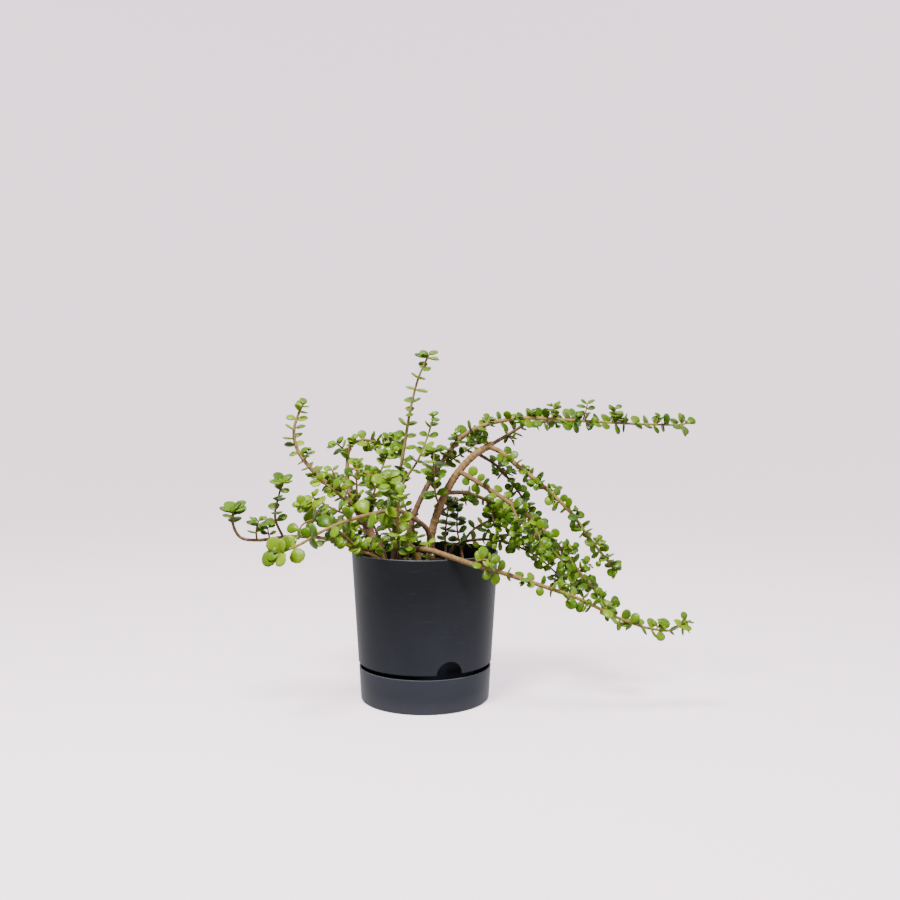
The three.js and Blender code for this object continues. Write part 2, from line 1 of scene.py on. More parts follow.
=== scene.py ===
# %% [markdown]
# # Dwarf jade in a self-watering pot
# This notebook dresses a packed construction model. The model already holds the pot, the saucer, the
# potting mix and every stem with a few plain leaves, at their real size. Each plain solid is either given
# a finish or replaced by a finer piece that lies in the same place, so we begin by loading that frame.

# %% Load the frame
import bpy
import bmesh
import json
import math
import random
from mathutils import Matrix, Vector, noise
from mathutils.geometry import interpolate_bezier

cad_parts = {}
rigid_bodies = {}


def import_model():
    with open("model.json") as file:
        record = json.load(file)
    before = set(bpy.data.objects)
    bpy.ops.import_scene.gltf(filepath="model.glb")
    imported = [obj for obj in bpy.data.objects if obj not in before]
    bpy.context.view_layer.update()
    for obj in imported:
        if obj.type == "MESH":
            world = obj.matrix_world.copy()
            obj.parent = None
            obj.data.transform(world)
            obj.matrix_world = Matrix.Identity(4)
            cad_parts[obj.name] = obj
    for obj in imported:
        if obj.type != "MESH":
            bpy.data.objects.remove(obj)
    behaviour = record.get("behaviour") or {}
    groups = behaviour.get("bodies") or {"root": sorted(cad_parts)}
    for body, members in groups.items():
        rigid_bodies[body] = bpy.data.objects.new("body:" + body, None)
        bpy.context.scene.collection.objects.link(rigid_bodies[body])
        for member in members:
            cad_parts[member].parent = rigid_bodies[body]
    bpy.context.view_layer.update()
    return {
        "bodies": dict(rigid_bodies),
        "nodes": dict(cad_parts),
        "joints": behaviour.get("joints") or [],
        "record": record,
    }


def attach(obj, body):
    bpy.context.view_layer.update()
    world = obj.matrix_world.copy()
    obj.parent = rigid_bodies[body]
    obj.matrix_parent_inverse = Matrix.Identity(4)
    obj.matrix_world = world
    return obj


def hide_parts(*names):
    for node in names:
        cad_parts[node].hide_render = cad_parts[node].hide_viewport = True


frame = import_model()
MM = 0.001
print("nodes:", len(frame["nodes"]))

# %% [markdown]
# ## Camera
# A photograph can only be matched if the camera stands where the photographer stood. The ellipses of the
# pot's rim, the skirt and the saucer fix that place: a little over a metre in front, a little above the
# leaves, and looking down by about one degree. With a 36 mm sensor a 36 mm lens gives the same angle of
# view across the square picture.

# %% Place the camera
CAMERA_PLACE = Vector((31.1, -1119.5, 329.5)) * MM
CAMERA_DIP = 1.12
LENS = SENSOR_WIDTH = 36
camera_data = bpy.data.cameras.new("camera")
camera_data.lens = LENS
camera_data.sensor_width = SENSOR_WIDTH
camera = bpy.data.objects.new("camera", camera_data)
camera.location = CAMERA_PLACE
camera.rotation_euler = (math.radians(90 - CAMERA_DIP), 0, 0)
bpy.context.scene.collection.objects.link(camera)
bpy.context.scene.camera = camera
print("camera at", tuple(round(v, 3) for v in camera.location))


# %% [markdown]
# ## Studio
# The plant stands on a pale sheet that curves up into the wall. Photographers hang one sheet behind the
# subject, but this part is also looked at from behind, so the sheet is turned all the way round: a
# profile of floor, bend and wall is spun about the pot's axis. It is hidden from the light's bounces, so
# that its paleness and the plant's light can be set apart. Two large soft lamps hang in front, the main one
# high up, because the shadows of the leaves fall straight down the pot.

# %% Spin the backdrop
def as_object(bm, name):
    """A bmesh made into an object at the origin. The bmesh is freed."""
    mesh = bpy.data.meshes.new(name)
    bm.to_mesh(mesh)
    bm.free()
    thing = bpy.data.objects.new(name, mesh)
    bpy.context.scene.collection.objects.link(thing)
    return thing


def smooth_outwards(bm):
    """Turns the faces of a closed bmesh outwards and shades them smooth."""
    bmesh.ops.recalc_face_normals(bm, faces=bm.faces)
    for face in bm.faces:
        face.smooth = True
    return bm


def spun(profile, steps):
    """A profile of (radius, height) points in metres, turned all the way round the Z axis."""
    bm = bmesh.new()
    points = [bm.verts.new((radius, 0, height)) for radius, height in profile]
    edges = [bm.edges.new(pair) for pair in zip(points, points[1:])]
    bmesh.ops.spin(bm, geom=points + edges, cent=(0, 0, 0), axis=(0, 0, 1), angle=2 * math.pi,
                   steps=steps, use_merge=True)
    bmesh.ops.remove_doubles(bm, verts=bm.verts, dist=1e-6)
    return smooth_outwards(bm)


SHEET_FLAT, SHEET_BEND, SHEET_HEIGHT = 2.4, 0.8, 3.0
SHEET_STEPS = 96
turns = [math.radians(degrees) for degrees in range(0, 91, 6)]
bend = [(SHEET_FLAT + SHEET_BEND * math.sin(turn), SHEET_BEND * (1 - math.cos(turn))) for turn in turns]
sheet = [(0, 0)] + bend + [(SHEET_FLAT + SHEET_BEND, SHEET_HEIGHT)]
backdrop = as_object(spun(sheet, SHEET_STEPS), "backdrop")
backdrop.visible_diffuse = False
backdrop.visible_glossy = False
print("backdrop faces:", len(backdrop.data.polygons))


# %% Hang the lamps
def lamp(name, place, target, size, watts, colour):
    """A soft disk of light that faces a target."""
    data = bpy.data.lights.new(name, "AREA")
    data.shape = "DISK"
    data.size = size
    data.energy = watts
    data.color = colour
    thing = bpy.data.objects.new(name, data)
    thing.location = place
    thing.rotation_euler = (Vector(target) - Vector(place)).to_track_quat("-Z", "Y").to_euler()
    bpy.context.scene.collection.objects.link(thing)


lamp("key_lamp", (-0.35, -0.75, 1.65), (0.05, 0, 0.25), 0.55, 62, (1.0, 0.985, 0.96))
lamp("fill_lamp", (1.5, -1.1, 0.8), (0.05, 0, 0.2), 1.3, 16, (0.97, 0.98, 1.0))


# %% [markdown]
# ## A small shader language
# Node trees are clearer when they are written as sums. The class below wraps one socket, so that
# `1 - mask * 0.3` adds the two Math nodes it needs. Colours go through Mix nodes instead, because a Math
# node would turn them grey.

# %% Wrap sockets
class Value:
    """One number socket of a material, with the arithmetic that this scene uses."""

    def __init__(self, finish, socket):
        self.finish = finish
        self.socket = socket

    def maths(self, operation, *others):
        made = self.finish.node("ShaderNodeMath", dict(operation=operation), dict(enumerate((self, *others))))
        return Value(self.finish, made.outputs[0])

    def __add__(self, other):
        return self.maths("ADD", other)

    def __mul__(self, other):
        return self.maths("MULTIPLY", other)

    def __sub__(self, other):
        return self.maths("SUBTRACT", other)

    def __rsub__(self, other):
        return self * -1 + other

    __radd__ = __add__
    __rmul__ = __mul__

    def between(self, low, high):
        """0 at low, 1 at high, and held there outside."""
        made = self.finish.node("ShaderNodeMapRange", dict(interpolation_type="SMOOTHSTEP"),
                                {"Value": self, "From Min": low, "From Max": high})
        return Value(self.finish, made.outputs[0])


class Finish:
    """The nodes of one material, or of the world."""

    def __init__(self, holder, shader="Principled BSDF"):
        self.material = bpy.data.materials.new(holder) if isinstance(holder, str) else holder
        self.material.use_nodes = True
        self.tree = self.material.node_tree
        self.shader = self.tree.nodes[shader]

    def node(self, kind, settings=None, inputs=None):
        made = self.tree.nodes.new(kind)
        for key, value in (settings or {}).items():
            if key == "stops":
                set_stops(made.color_ramp, value)
            else:
                setattr(made, key, value)
        for key, value in (inputs or {}).items():
            self.feed(made.inputs[key], value)
        return made

    def feed(self, socket, value):
        if isinstance(value, Value):
            value = value.socket
        if isinstance(value, bpy.types.NodeSocket):
            self.tree.links.new(value, socket)
        else:
            socket.default_value = value

    def place(self):
        return self.node("ShaderNodeTexCoord").outputs["Object"]

    def attribute(self, name):
        return Value(self, self.node("ShaderNodeAttribute", dict(attribute_name=name)).outputs["Fac"])

    def axis(self, vector, letter):
        parts = self.node("ShaderNodeSeparateXYZ", inputs={"Vector": vector})
        return Value(self, parts.outputs[letter])

    def noise(self, scale, detail, roughness=0.5, stretch=None):
        vector = self.place()
        if stretch:
            vector = self.node("ShaderNodeMapping", inputs={"Vector": vector, "Scale": stretch}).outputs[0]
        made = self.node("ShaderNodeTexNoise", inputs={
            "Vector": vector, "Scale": scale, "Detail": detail, "Roughness": roughness})
        return Value(self, made.outputs["Fac"])

    def mix(self, factor, first, second):
        made = self.node("ShaderNodeMix", dict(data_type="RGBA"))
        self.feed(made.inputs[0], factor)
        self.feed(made.inputs[6], first)
        self.feed(made.inputs[7], second)
        return made.outputs[2]

    def ramp(self, value, stops):
        return self.node("ShaderNodeValToRGB", dict(stops=stops), {"Fac": value}).outputs["Color"]

    def bump(self, height, strength, distance):
        inputs = {"Height": height, "Strength": strength, "Distance": distance}
        return self.node("ShaderNodeBump", inputs=inputs).outputs["Normal"]

    def shade(self, inputs):
        """Feeds the shader's own inputs and returns the material."""
        for key, value in inputs.items():
            self.feed(self.shader.inputs[key], value)
        return self.material


def set_stops(ramp, stops):
    """Colour stops given as (place, colour)."""
    while len(ramp.elements) < len(stops):
        ramp.elements.new(1.0)
    for element, (place, colour) in zip(ramp.elements, stops):
        element.position = place
        element.color = (*colour, 1)


print("shader helpers are ready")

# %% [markdown]
# ## Air and paper
# A plain plastic pot shows the room it stands in. Here it reflects a pale floor and pale walls
# at its sides, a brighter one at its back, and a darker room in front, above the horizon, where the
# photographer stood. So the world is not one colour: its brightness is mixed by the direction of the light,
# with smooth steps for floor, front and back. The paper sheet glows, as one with lamps of its own does.


# %% Fill the world and the sheet
def fill_world():
    world = bpy.data.worlds.new("studio_air")
    bpy.context.scene.world = world
    air = Finish(world, "Background")
    direction = air.node("ShaderNodeTexCoord").outputs["Generated"]
    height = air.axis(direction, "Z")
    front = 1 - air.axis(direction, "Y").between(-0.75, 0.15)
    floor = 1 - height.between(-0.35, 0.05)
    dark_room = front * (1 - floor) * (1 - height.between(0.55, 0.95))
    behind = air.axis(direction, "Y").between(0.25, 0.95)
    air.shade({"Color": air.mix(dark_room, (0.97, 0.945, 0.965, 1), (0.20, 0.20, 0.21, 1)),
               "Strength": 0.93 + behind * 0.75})


def paper():
    return Finish("pale_paper").shade({
        "Base Color": (0.80, 0.715, 0.765, 1), "Roughness": 0.9, "Specular IOR Level": 0.1,
        "Emission Color": (1.0, 0.80, 0.905, 1), "Emission Strength": 1.5})


fill_world()
backdrop.data.materials.append(paper())
print("backdrop finish:", backdrop.data.materials[0].name)

# %% [markdown]
# ## Charcoal plastic
# Pot and saucer are moulded in charcoal plastic with a satin skin. A real one is never one flat grey: the
# resin has soft cloudy shifts, dust settles towards the foot, and handling leaves fine level scuffs. Light
# is painted in as well: a painted reflection of the pale floor pales the foot, a painted highlight makes a
# thin light line at the rim, and painted shade darkens the wall up under the leaves. Those go into colour and
# roughness, and a very shallow grain into the normals.


# %% Plastic finish
def charcoal(name, dark, light, foot, rim):
    """Charcoal plastic with a painted floor reflection and dust up to the height foot, a painted highlight
    line at the height rim, and painted shade high on the wall. Heights are in metres.
    """
    finish = Finish(name)
    cloud = finish.noise(9, 3)
    fine = finish.noise(900, 2)
    scuff = finish.noise(60, 4, 0.65, stretch=(1, 1, 9)).between(0.56, 0.72)
    height = finish.axis(finish.place(), "Z")
    # Painted floor reflection: this mask is 1 at the bottom and falls to 0 at the height foot. The real dust
    # below is laid under the same mask.
    painted_foot_light_and_dust = 1 - height.between(0.0, foot)
    dust = painted_foot_light_and_dust * finish.noise(140, 4, 0.7).between(0.35, 0.8)
    # Painted highlight: a thin light line just under the rim height.
    painted_rim_highlight = height.between(rim - 0.0008, rim - 0.0002)
    # Painted shade: the wall gets darker upwards, towards the leaves whose shadow falls on it. It is mixed
    # with the cloudy resin shifts.
    lower = 1 - height.between(0.05, 0.185)
    colour = finish.mix(cloud.between(0.3, 0.7) * 0.4 + lower * 0.6, dark, light)
    # The painted floor reflection pales the foot.
    colour = finish.mix(painted_foot_light_and_dust * 0.35, colour, (0.105, 0.105, 0.125, 1))
    # The painted highlight line at the rim.
    colour = finish.mix(painted_rim_highlight * 0.3, colour, (0.15, 0.155, 0.175, 1))
    colour = finish.mix(dust * 0.08, colour, (0.16, 0.15, 0.145, 1))
    colour = finish.mix(scuff * 0.05, colour, (0.20, 0.21, 0.23, 1))
    return finish.shade({
        "Base Color": colour, "Roughness": 0.43 + cloud * 0.08 + scuff * 0.08 + dust * 0.15,
        "Normal": finish.bump(fine, 0.10, 0.0002), "Specular IOR Level": 0.28})


POT_HEIGHT, SAUCER_HEIGHT = 182.5, 41.4
# Heights in millimetres up to which the painted floor reflection and the dust reach. The painted rim
# highlight sits just under POT_HEIGHT and SAUCER_HEIGHT.
POT_FOOT, SAUCER_FOOT = 50, 22
pot_finish = charcoal("charcoal_pot", (0.005, 0.0054, 0.0078, 1), (0.024, 0.0258, 0.037, 1),
                      POT_FOOT * MM, POT_HEIGHT * MM)
saucer_finish = charcoal("charcoal_saucer", (0.027, 0.029, 0.040, 1), (0.036, 0.038, 0.055, 1),
                         SAUCER_FOOT * MM, SAUCER_HEIGHT * MM)
print("plastic finishes:", pot_finish.name, saucer_finish.name)

# %% [markdown]
# ## Saucer
# The saucer is the water tank. It is a turned shape, so its half section is drawn once and spun. Its
# rim is only a wall's thickness wide, and what shows of it is the thin bright line where the moulded edge is
# rounded, so a Bevel modifier rounds every sharp edge by a few tenths of a millimetre. The plastic finish
# adds a painted highlight line at the same height.

# %% Turn the saucer
WALL = 2.2
ROUND_STEPS = 128
SHARP_ANGLE = math.radians(30)
SAUCER_BASE_RADIUS, SAUCER_RIM_RADIUS = 79.7, 81.9
SAUCER_FLOOR, SAUCER_EDGE = 3, 2


def metres(points):
    return [(radius * MM, height * MM) for radius, height in points]


def round_edges(piece, width, segments=3):
    """Rounds the sharp edges of a piece and shades the rest smooth."""
    piece.data.set_sharp_from_angle(angle=SHARP_ANGLE)
    edge = piece.modifiers.new("rounded_edges", "BEVEL")
    edge.width = width
    edge.segments = segments
    edge.limit_method = "ANGLE"
    edge.angle_limit = SHARP_ANGLE
    edge.harden_normals = True


saucer_section = [
    (0, 0), (SAUCER_BASE_RADIUS - SAUCER_EDGE, 0), (SAUCER_BASE_RADIUS - 0.6, 0.6),
    (SAUCER_BASE_RADIUS, SAUCER_EDGE), (SAUCER_RIM_RADIUS, SAUCER_HEIGHT),
    (SAUCER_RIM_RADIUS - WALL, SAUCER_HEIGHT), (SAUCER_BASE_RADIUS - WALL, SAUCER_FLOOR + SAUCER_EDGE),
    (SAUCER_BASE_RADIUS - WALL - SAUCER_EDGE, SAUCER_FLOOR), (0, SAUCER_FLOOR)]
saucer = as_object(spun(metres(saucer_section), ROUND_STEPS), "saucer_shell")
round_edges(saucer, 0.5 * MM)
saucer.data.materials.append(saucer_finish)
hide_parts("saucer")
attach(saucer, "root")
print("saucer faces:", len(saucer.data.polygons))

# %% [markdown]
# ## Pot
# The pot is one moulding. Its outer wall runs on below the soil as a skirt that hides the saucer, and
# inside, a narrower neck with a floor, feet and a slotted wick cup stands in the water. The same half
# section as the construction model's is spun. The filling notch, the drain holes and the wick slots are cut
# by one Boolean with a cutter made of cylinders and boxes, because cuts across a spun wall can't be spun.

# %% Turn the pot
POT_RIM_RADIUS = 91
SKIRT_EDGE_HEIGHT, SKIRT_EDGE_RADIUS = 46.6, 82.6
SHELF_HEIGHT, NECK_TOP_RADIUS, NECK_BASE_RADIUS = 66, 64, 60
POT_FLOOR_HEIGHT, CUP_TOP_RADIUS, CUP_BASE_RADIUS = 22, 20, 17
STAND = SAUCER_FLOOR + 0.3


def wall_radius(height):
    """Outer radius of the pot's wall at a height, in millimetres."""
    part = (height - SKIRT_EDGE_HEIGHT) / (POT_HEIGHT - SKIRT_EDGE_HEIGHT)
    return SKIRT_EDGE_RADIUS + (POT_RIM_RADIUS - SKIRT_EDGE_RADIUS) * part


def pot_section():
    shelf_top = SHELF_HEIGHT + WALL
    floor_top = POT_FLOOR_HEIGHT + WALL
    return [
        (0, STAND), (CUP_BASE_RADIUS, STAND), (CUP_TOP_RADIUS, POT_FLOOR_HEIGHT),
        (NECK_BASE_RADIUS, POT_FLOOR_HEIGHT), (NECK_TOP_RADIUS, SHELF_HEIGHT),
        (wall_radius(SHELF_HEIGHT) - WALL, SHELF_HEIGHT), (SKIRT_EDGE_RADIUS - WALL, SKIRT_EDGE_HEIGHT),
        (SKIRT_EDGE_RADIUS - 1, SKIRT_EDGE_HEIGHT), (SKIRT_EDGE_RADIUS, SKIRT_EDGE_HEIGHT + 1),
        (POT_RIM_RADIUS, POT_HEIGHT - 0.8), (POT_RIM_RADIUS - 0.8, POT_HEIGHT),
        (POT_RIM_RADIUS - WALL + 0.3, POT_HEIGHT), (POT_RIM_RADIUS - WALL, POT_HEIGHT - 0.3),
        (wall_radius(shelf_top) - WALL, shelf_top),
        (NECK_TOP_RADIUS - WALL, shelf_top), (NECK_BASE_RADIUS - WALL, floor_top),
        (CUP_TOP_RADIUS - WALL, floor_top), (CUP_BASE_RADIUS - WALL, STAND + WALL), (0, STAND + WALL)]


pot = as_object(spun(metres(pot_section()), ROUND_STEPS), "pot_shell")
print("pot faces before the cuts:", len(pot.data.polygons))


# %% Cut the notch, the drain holes and the wick slots
def add_peg(bm, radius, length, place, steps=24):
    bmesh.ops.create_cone(bm, cap_ends=True, segments=steps, radius1=radius * MM, radius2=radius * MM,
                          depth=length * MM, matrix=place)


def ring_place(radius, degrees, height):
    """A place at a radius and an angle, counted from the front towards +X."""
    return (Matrix.Rotation(math.radians(degrees), 4, "Z")
            @ Matrix.Translation(Vector((0, -radius, height)) * MM))


def boolean(piece, other, operation):
    """Joins or cuts a piece with another mesh object, which is then removed."""
    step = piece.modifiers.new(operation.lower(), "BOOLEAN")
    step.operation = operation
    step.solver = "EXACT"
    step.object = other
    graph = bpy.context.evaluated_depsgraph_get()
    result = bpy.data.meshes.new_from_object(piece.evaluated_get(graph))
    piece.modifiers.clear()
    piece.data = result
    bpy.data.objects.remove(other)


FOOT_RADIUS, FOOT_RING, FOOT_TOP = 6, 46, POT_FLOOR_HEIGHT + 1.1
NOTCH_RADIUS, NOTCH_DEPTH, NOTCH_TURN = 16, 18, 22
DRAIN_RADIUS, DRAIN_RING = 3.5, 34
SLOT_WIDTH, SLOT_HEIGHT = 5, 9
feet = bmesh.new()
for foot in range(4):
    middle = ring_place(FOOT_RING, 45 + 90 * foot, (STAND + FOOT_TOP) / 2)
    add_peg(feet, FOOT_RADIUS, FOOT_TOP - STAND, middle)
boolean(pot, as_object(feet, "feet"), "UNION")

cuts = bmesh.new()
lying = Matrix.Rotation(math.radians(90), 4, "X")
notch = ring_place(SKIRT_EDGE_RADIUS, NOTCH_TURN, SKIRT_EDGE_HEIGHT) @ lying
add_peg(cuts, NOTCH_RADIUS, NOTCH_DEPTH, notch, 64)
for drain in range(8):
    add_peg(cuts, DRAIN_RADIUS, WALL + 4, ring_place(DRAIN_RING, 45 * drain, POT_FLOOR_HEIGHT + WALL / 2))
slot_ring = (CUP_BASE_RADIUS + CUP_TOP_RADIUS - WALL) / 2
slot_box = Matrix.Diagonal((SLOT_WIDTH * MM, 3 * WALL * MM, SLOT_HEIGHT * MM, 1))
for slot in range(6):
    middle = ring_place(slot_ring, 60 * slot, (STAND + POT_FLOOR_HEIGHT) / 2)
    bmesh.ops.create_cube(cuts, size=1, matrix=middle @ slot_box)
boolean(pot, as_object(cuts, "cutters"), "DIFFERENCE")
round_edges(pot, 0.35 * MM, 2)
pot.data.materials.clear()
pot.data.materials.append(pot_finish)
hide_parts("pot")
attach(pot, "root")
print("pot faces:", len(pot.data.polygons))

# %% [markdown]
# ## Potting mix
# The mix fills the wick cup, the neck and the pot, and has sunk about two centimetres below the rim. Its
# body is spun like the pot. The top is a fine grid of rings, pushed up and down by a smooth noise, and on it
# lies a separate layer of crumbs and bark chips: a few hundred low icospheres and blocks, each
# squashed and turned at random. Loose bits are what makes soil look like soil, more than any colour does.

# %% Mix finish
def crumbly(name, dark, light, pale):
    finish = Finish(name)
    coarse = finish.noise(180, 5, 0.7)
    fine = finish.noise(900, 3, 0.6)
    specks = finish.noise(420, 2, 0.5).between(0.66, 0.74)
    colour = finish.mix(coarse.between(0.3, 0.7), dark, light)
    colour = finish.mix(specks * 0.5, colour, pale)
    return finish.shade({"Base Color": colour, "Roughness": 0.82 + fine * 0.15,
                         "Normal": finish.bump(coarse + fine * 0.5, 0.8, 0.0012)})


mix_finish = crumbly("damp_mix", (0.012, 0.008, 0.006, 1), (0.045, 0.030, 0.021, 1), (0.12, 0.09, 0.065, 1))
chip_finish = crumbly("bark_chips", (0.045, 0.026, 0.016, 1), (0.13, 0.08, 0.05, 1), (0.30, 0.23, 0.17, 1))
print("soil finishes:", mix_finish.name, chip_finish.name)

# %% Turn the mix and roughen its top
SOIL_LEVEL, SOIL_CROWN, SOIL_RADIUS = 160, 163, 86
MIX_INSET = WALL + 0.3
TOP_RINGS, TOP_RING_WIDTH, MIX_STEPS = 39, 2.2, 120


def mix_top(radius):
    """Height of the mix at a radius, before it is roughened."""
    return SOIL_CROWN - (SOIL_CROWN - SOIL_LEVEL) * (radius / SOIL_RADIUS) ** 2


def lump(x, y):
    """How far the top stands above or below its mean, in millimetres."""
    place = Vector((x, y, 0)) / MM
    return 1.6 * noise.noise(place / 14) + 0.9 * noise.noise(place / 4.5)


mix_section = [(0, STAND + MIX_INSET), (CUP_BASE_RADIUS - MIX_INSET, STAND + MIX_INSET),
               (CUP_TOP_RADIUS - MIX_INSET, POT_FLOOR_HEIGHT + MIX_INSET),
               (NECK_BASE_RADIUS - MIX_INSET, POT_FLOOR_HEIGHT + MIX_INSET),
               (NECK_TOP_RADIUS - MIX_INSET, SHELF_HEIGHT + MIX_INSET),
               (wall_radius(SHELF_HEIGHT + MIX_INSET) - MIX_INSET, SHELF_HEIGHT + MIX_INSET)]
top_edge = wall_radius(SOIL_LEVEL - 2) - MIX_INSET - 0.3
mix_section += [(top_edge, SOIL_LEVEL - 2)]
mix_section += [(top_edge - 0.2 - TOP_RING_WIDTH * ring, mix_top(top_edge - TOP_RING_WIDTH * ring))
                for ring in range(TOP_RINGS)]
mix_section += [(0, mix_top(0))]
mix_bm = spun(metres(mix_section), MIX_STEPS)
for vert in mix_bm.verts:
    if vert.co.z > (SOIL_LEVEL - 1) * MM:
        vert.co.z += lump(vert.co.x, vert.co.y) * MM
mix = as_object(mix_bm, "potting_mix_body")
mix.data.materials.append(mix_finish)
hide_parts("potting_mix")
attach(mix, "root")
print("mix faces:", len(mix.data.polygons))


# %% Scatter crumbs and chips
SCATTER_REACH = 84


def scatter(bm, count, sizes, stretch, dice, blocky=False):
    """Adds squashed, turned bits that lie on the mix's top."""
    for bit in range(count):
        reach = SCATTER_REACH * math.sqrt(dice.random())
        turn = dice.uniform(0, 2 * math.pi)
        x, y = reach * math.cos(turn) * MM, reach * math.sin(turn) * MM
        size = dice.uniform(*sizes)
        place = Matrix.Translation((x, y, (mix_top(reach) + lump(x, y) + 0.15 * size) * MM))
        place @= Matrix.Rotation(dice.uniform(0, math.pi), 4, "Z")
        place @= Matrix.Rotation(dice.gauss(0, 0.35), 4, "X")
        place @= Matrix.Diagonal((size * stretch * MM, size * MM, size * dice.uniform(0.35, 0.8) * MM, 1))
        if blocky:
            bmesh.ops.create_cube(bm, size=1, matrix=place)
        else:
            bmesh.ops.create_icosphere(bm, subdivisions=1, radius=0.5, matrix=place)


crumbs = bmesh.new()
scatter(crumbs, 900, (1.4, 4.2), 1.2, random.Random(3))
crumbs = as_object(crumbs, "mix_crumbs")
crumbs.data.materials.append(mix_finish)
chips = bmesh.new()
scatter(chips, 110, (2.0, 4.0), 2.4, random.Random(5), blocky=True)
chips = as_object(chips, "bark_chips")
chips.data.materials.append(chip_finish)
for piece in (crumbs, chips):
    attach(piece, "root")
    print(piece.name, "faces:", len(piece.data.polygons))

# %% [markdown]
# ## Courses of the stems
# Each stem is a list of points on its middle line, in millimetres, from its base in the mix or on another
# stem to its tip. The list repeats the construction model's. thick is the diameter at base and tip, leafy
# the part of the length at which the leaves begin, every the way from one leaf pair to the next, leaf the
# length of a full leaf, and carrier the stem that a branch grows on.


# %% List the stems
def stem(name, thick, route, leafy=None, every=11, leaf=14, carrier=None):
    return dict(name=name, thick=thick, route=route, leafy=leafy, every=every, leaf=leaf, carrier=carrier)


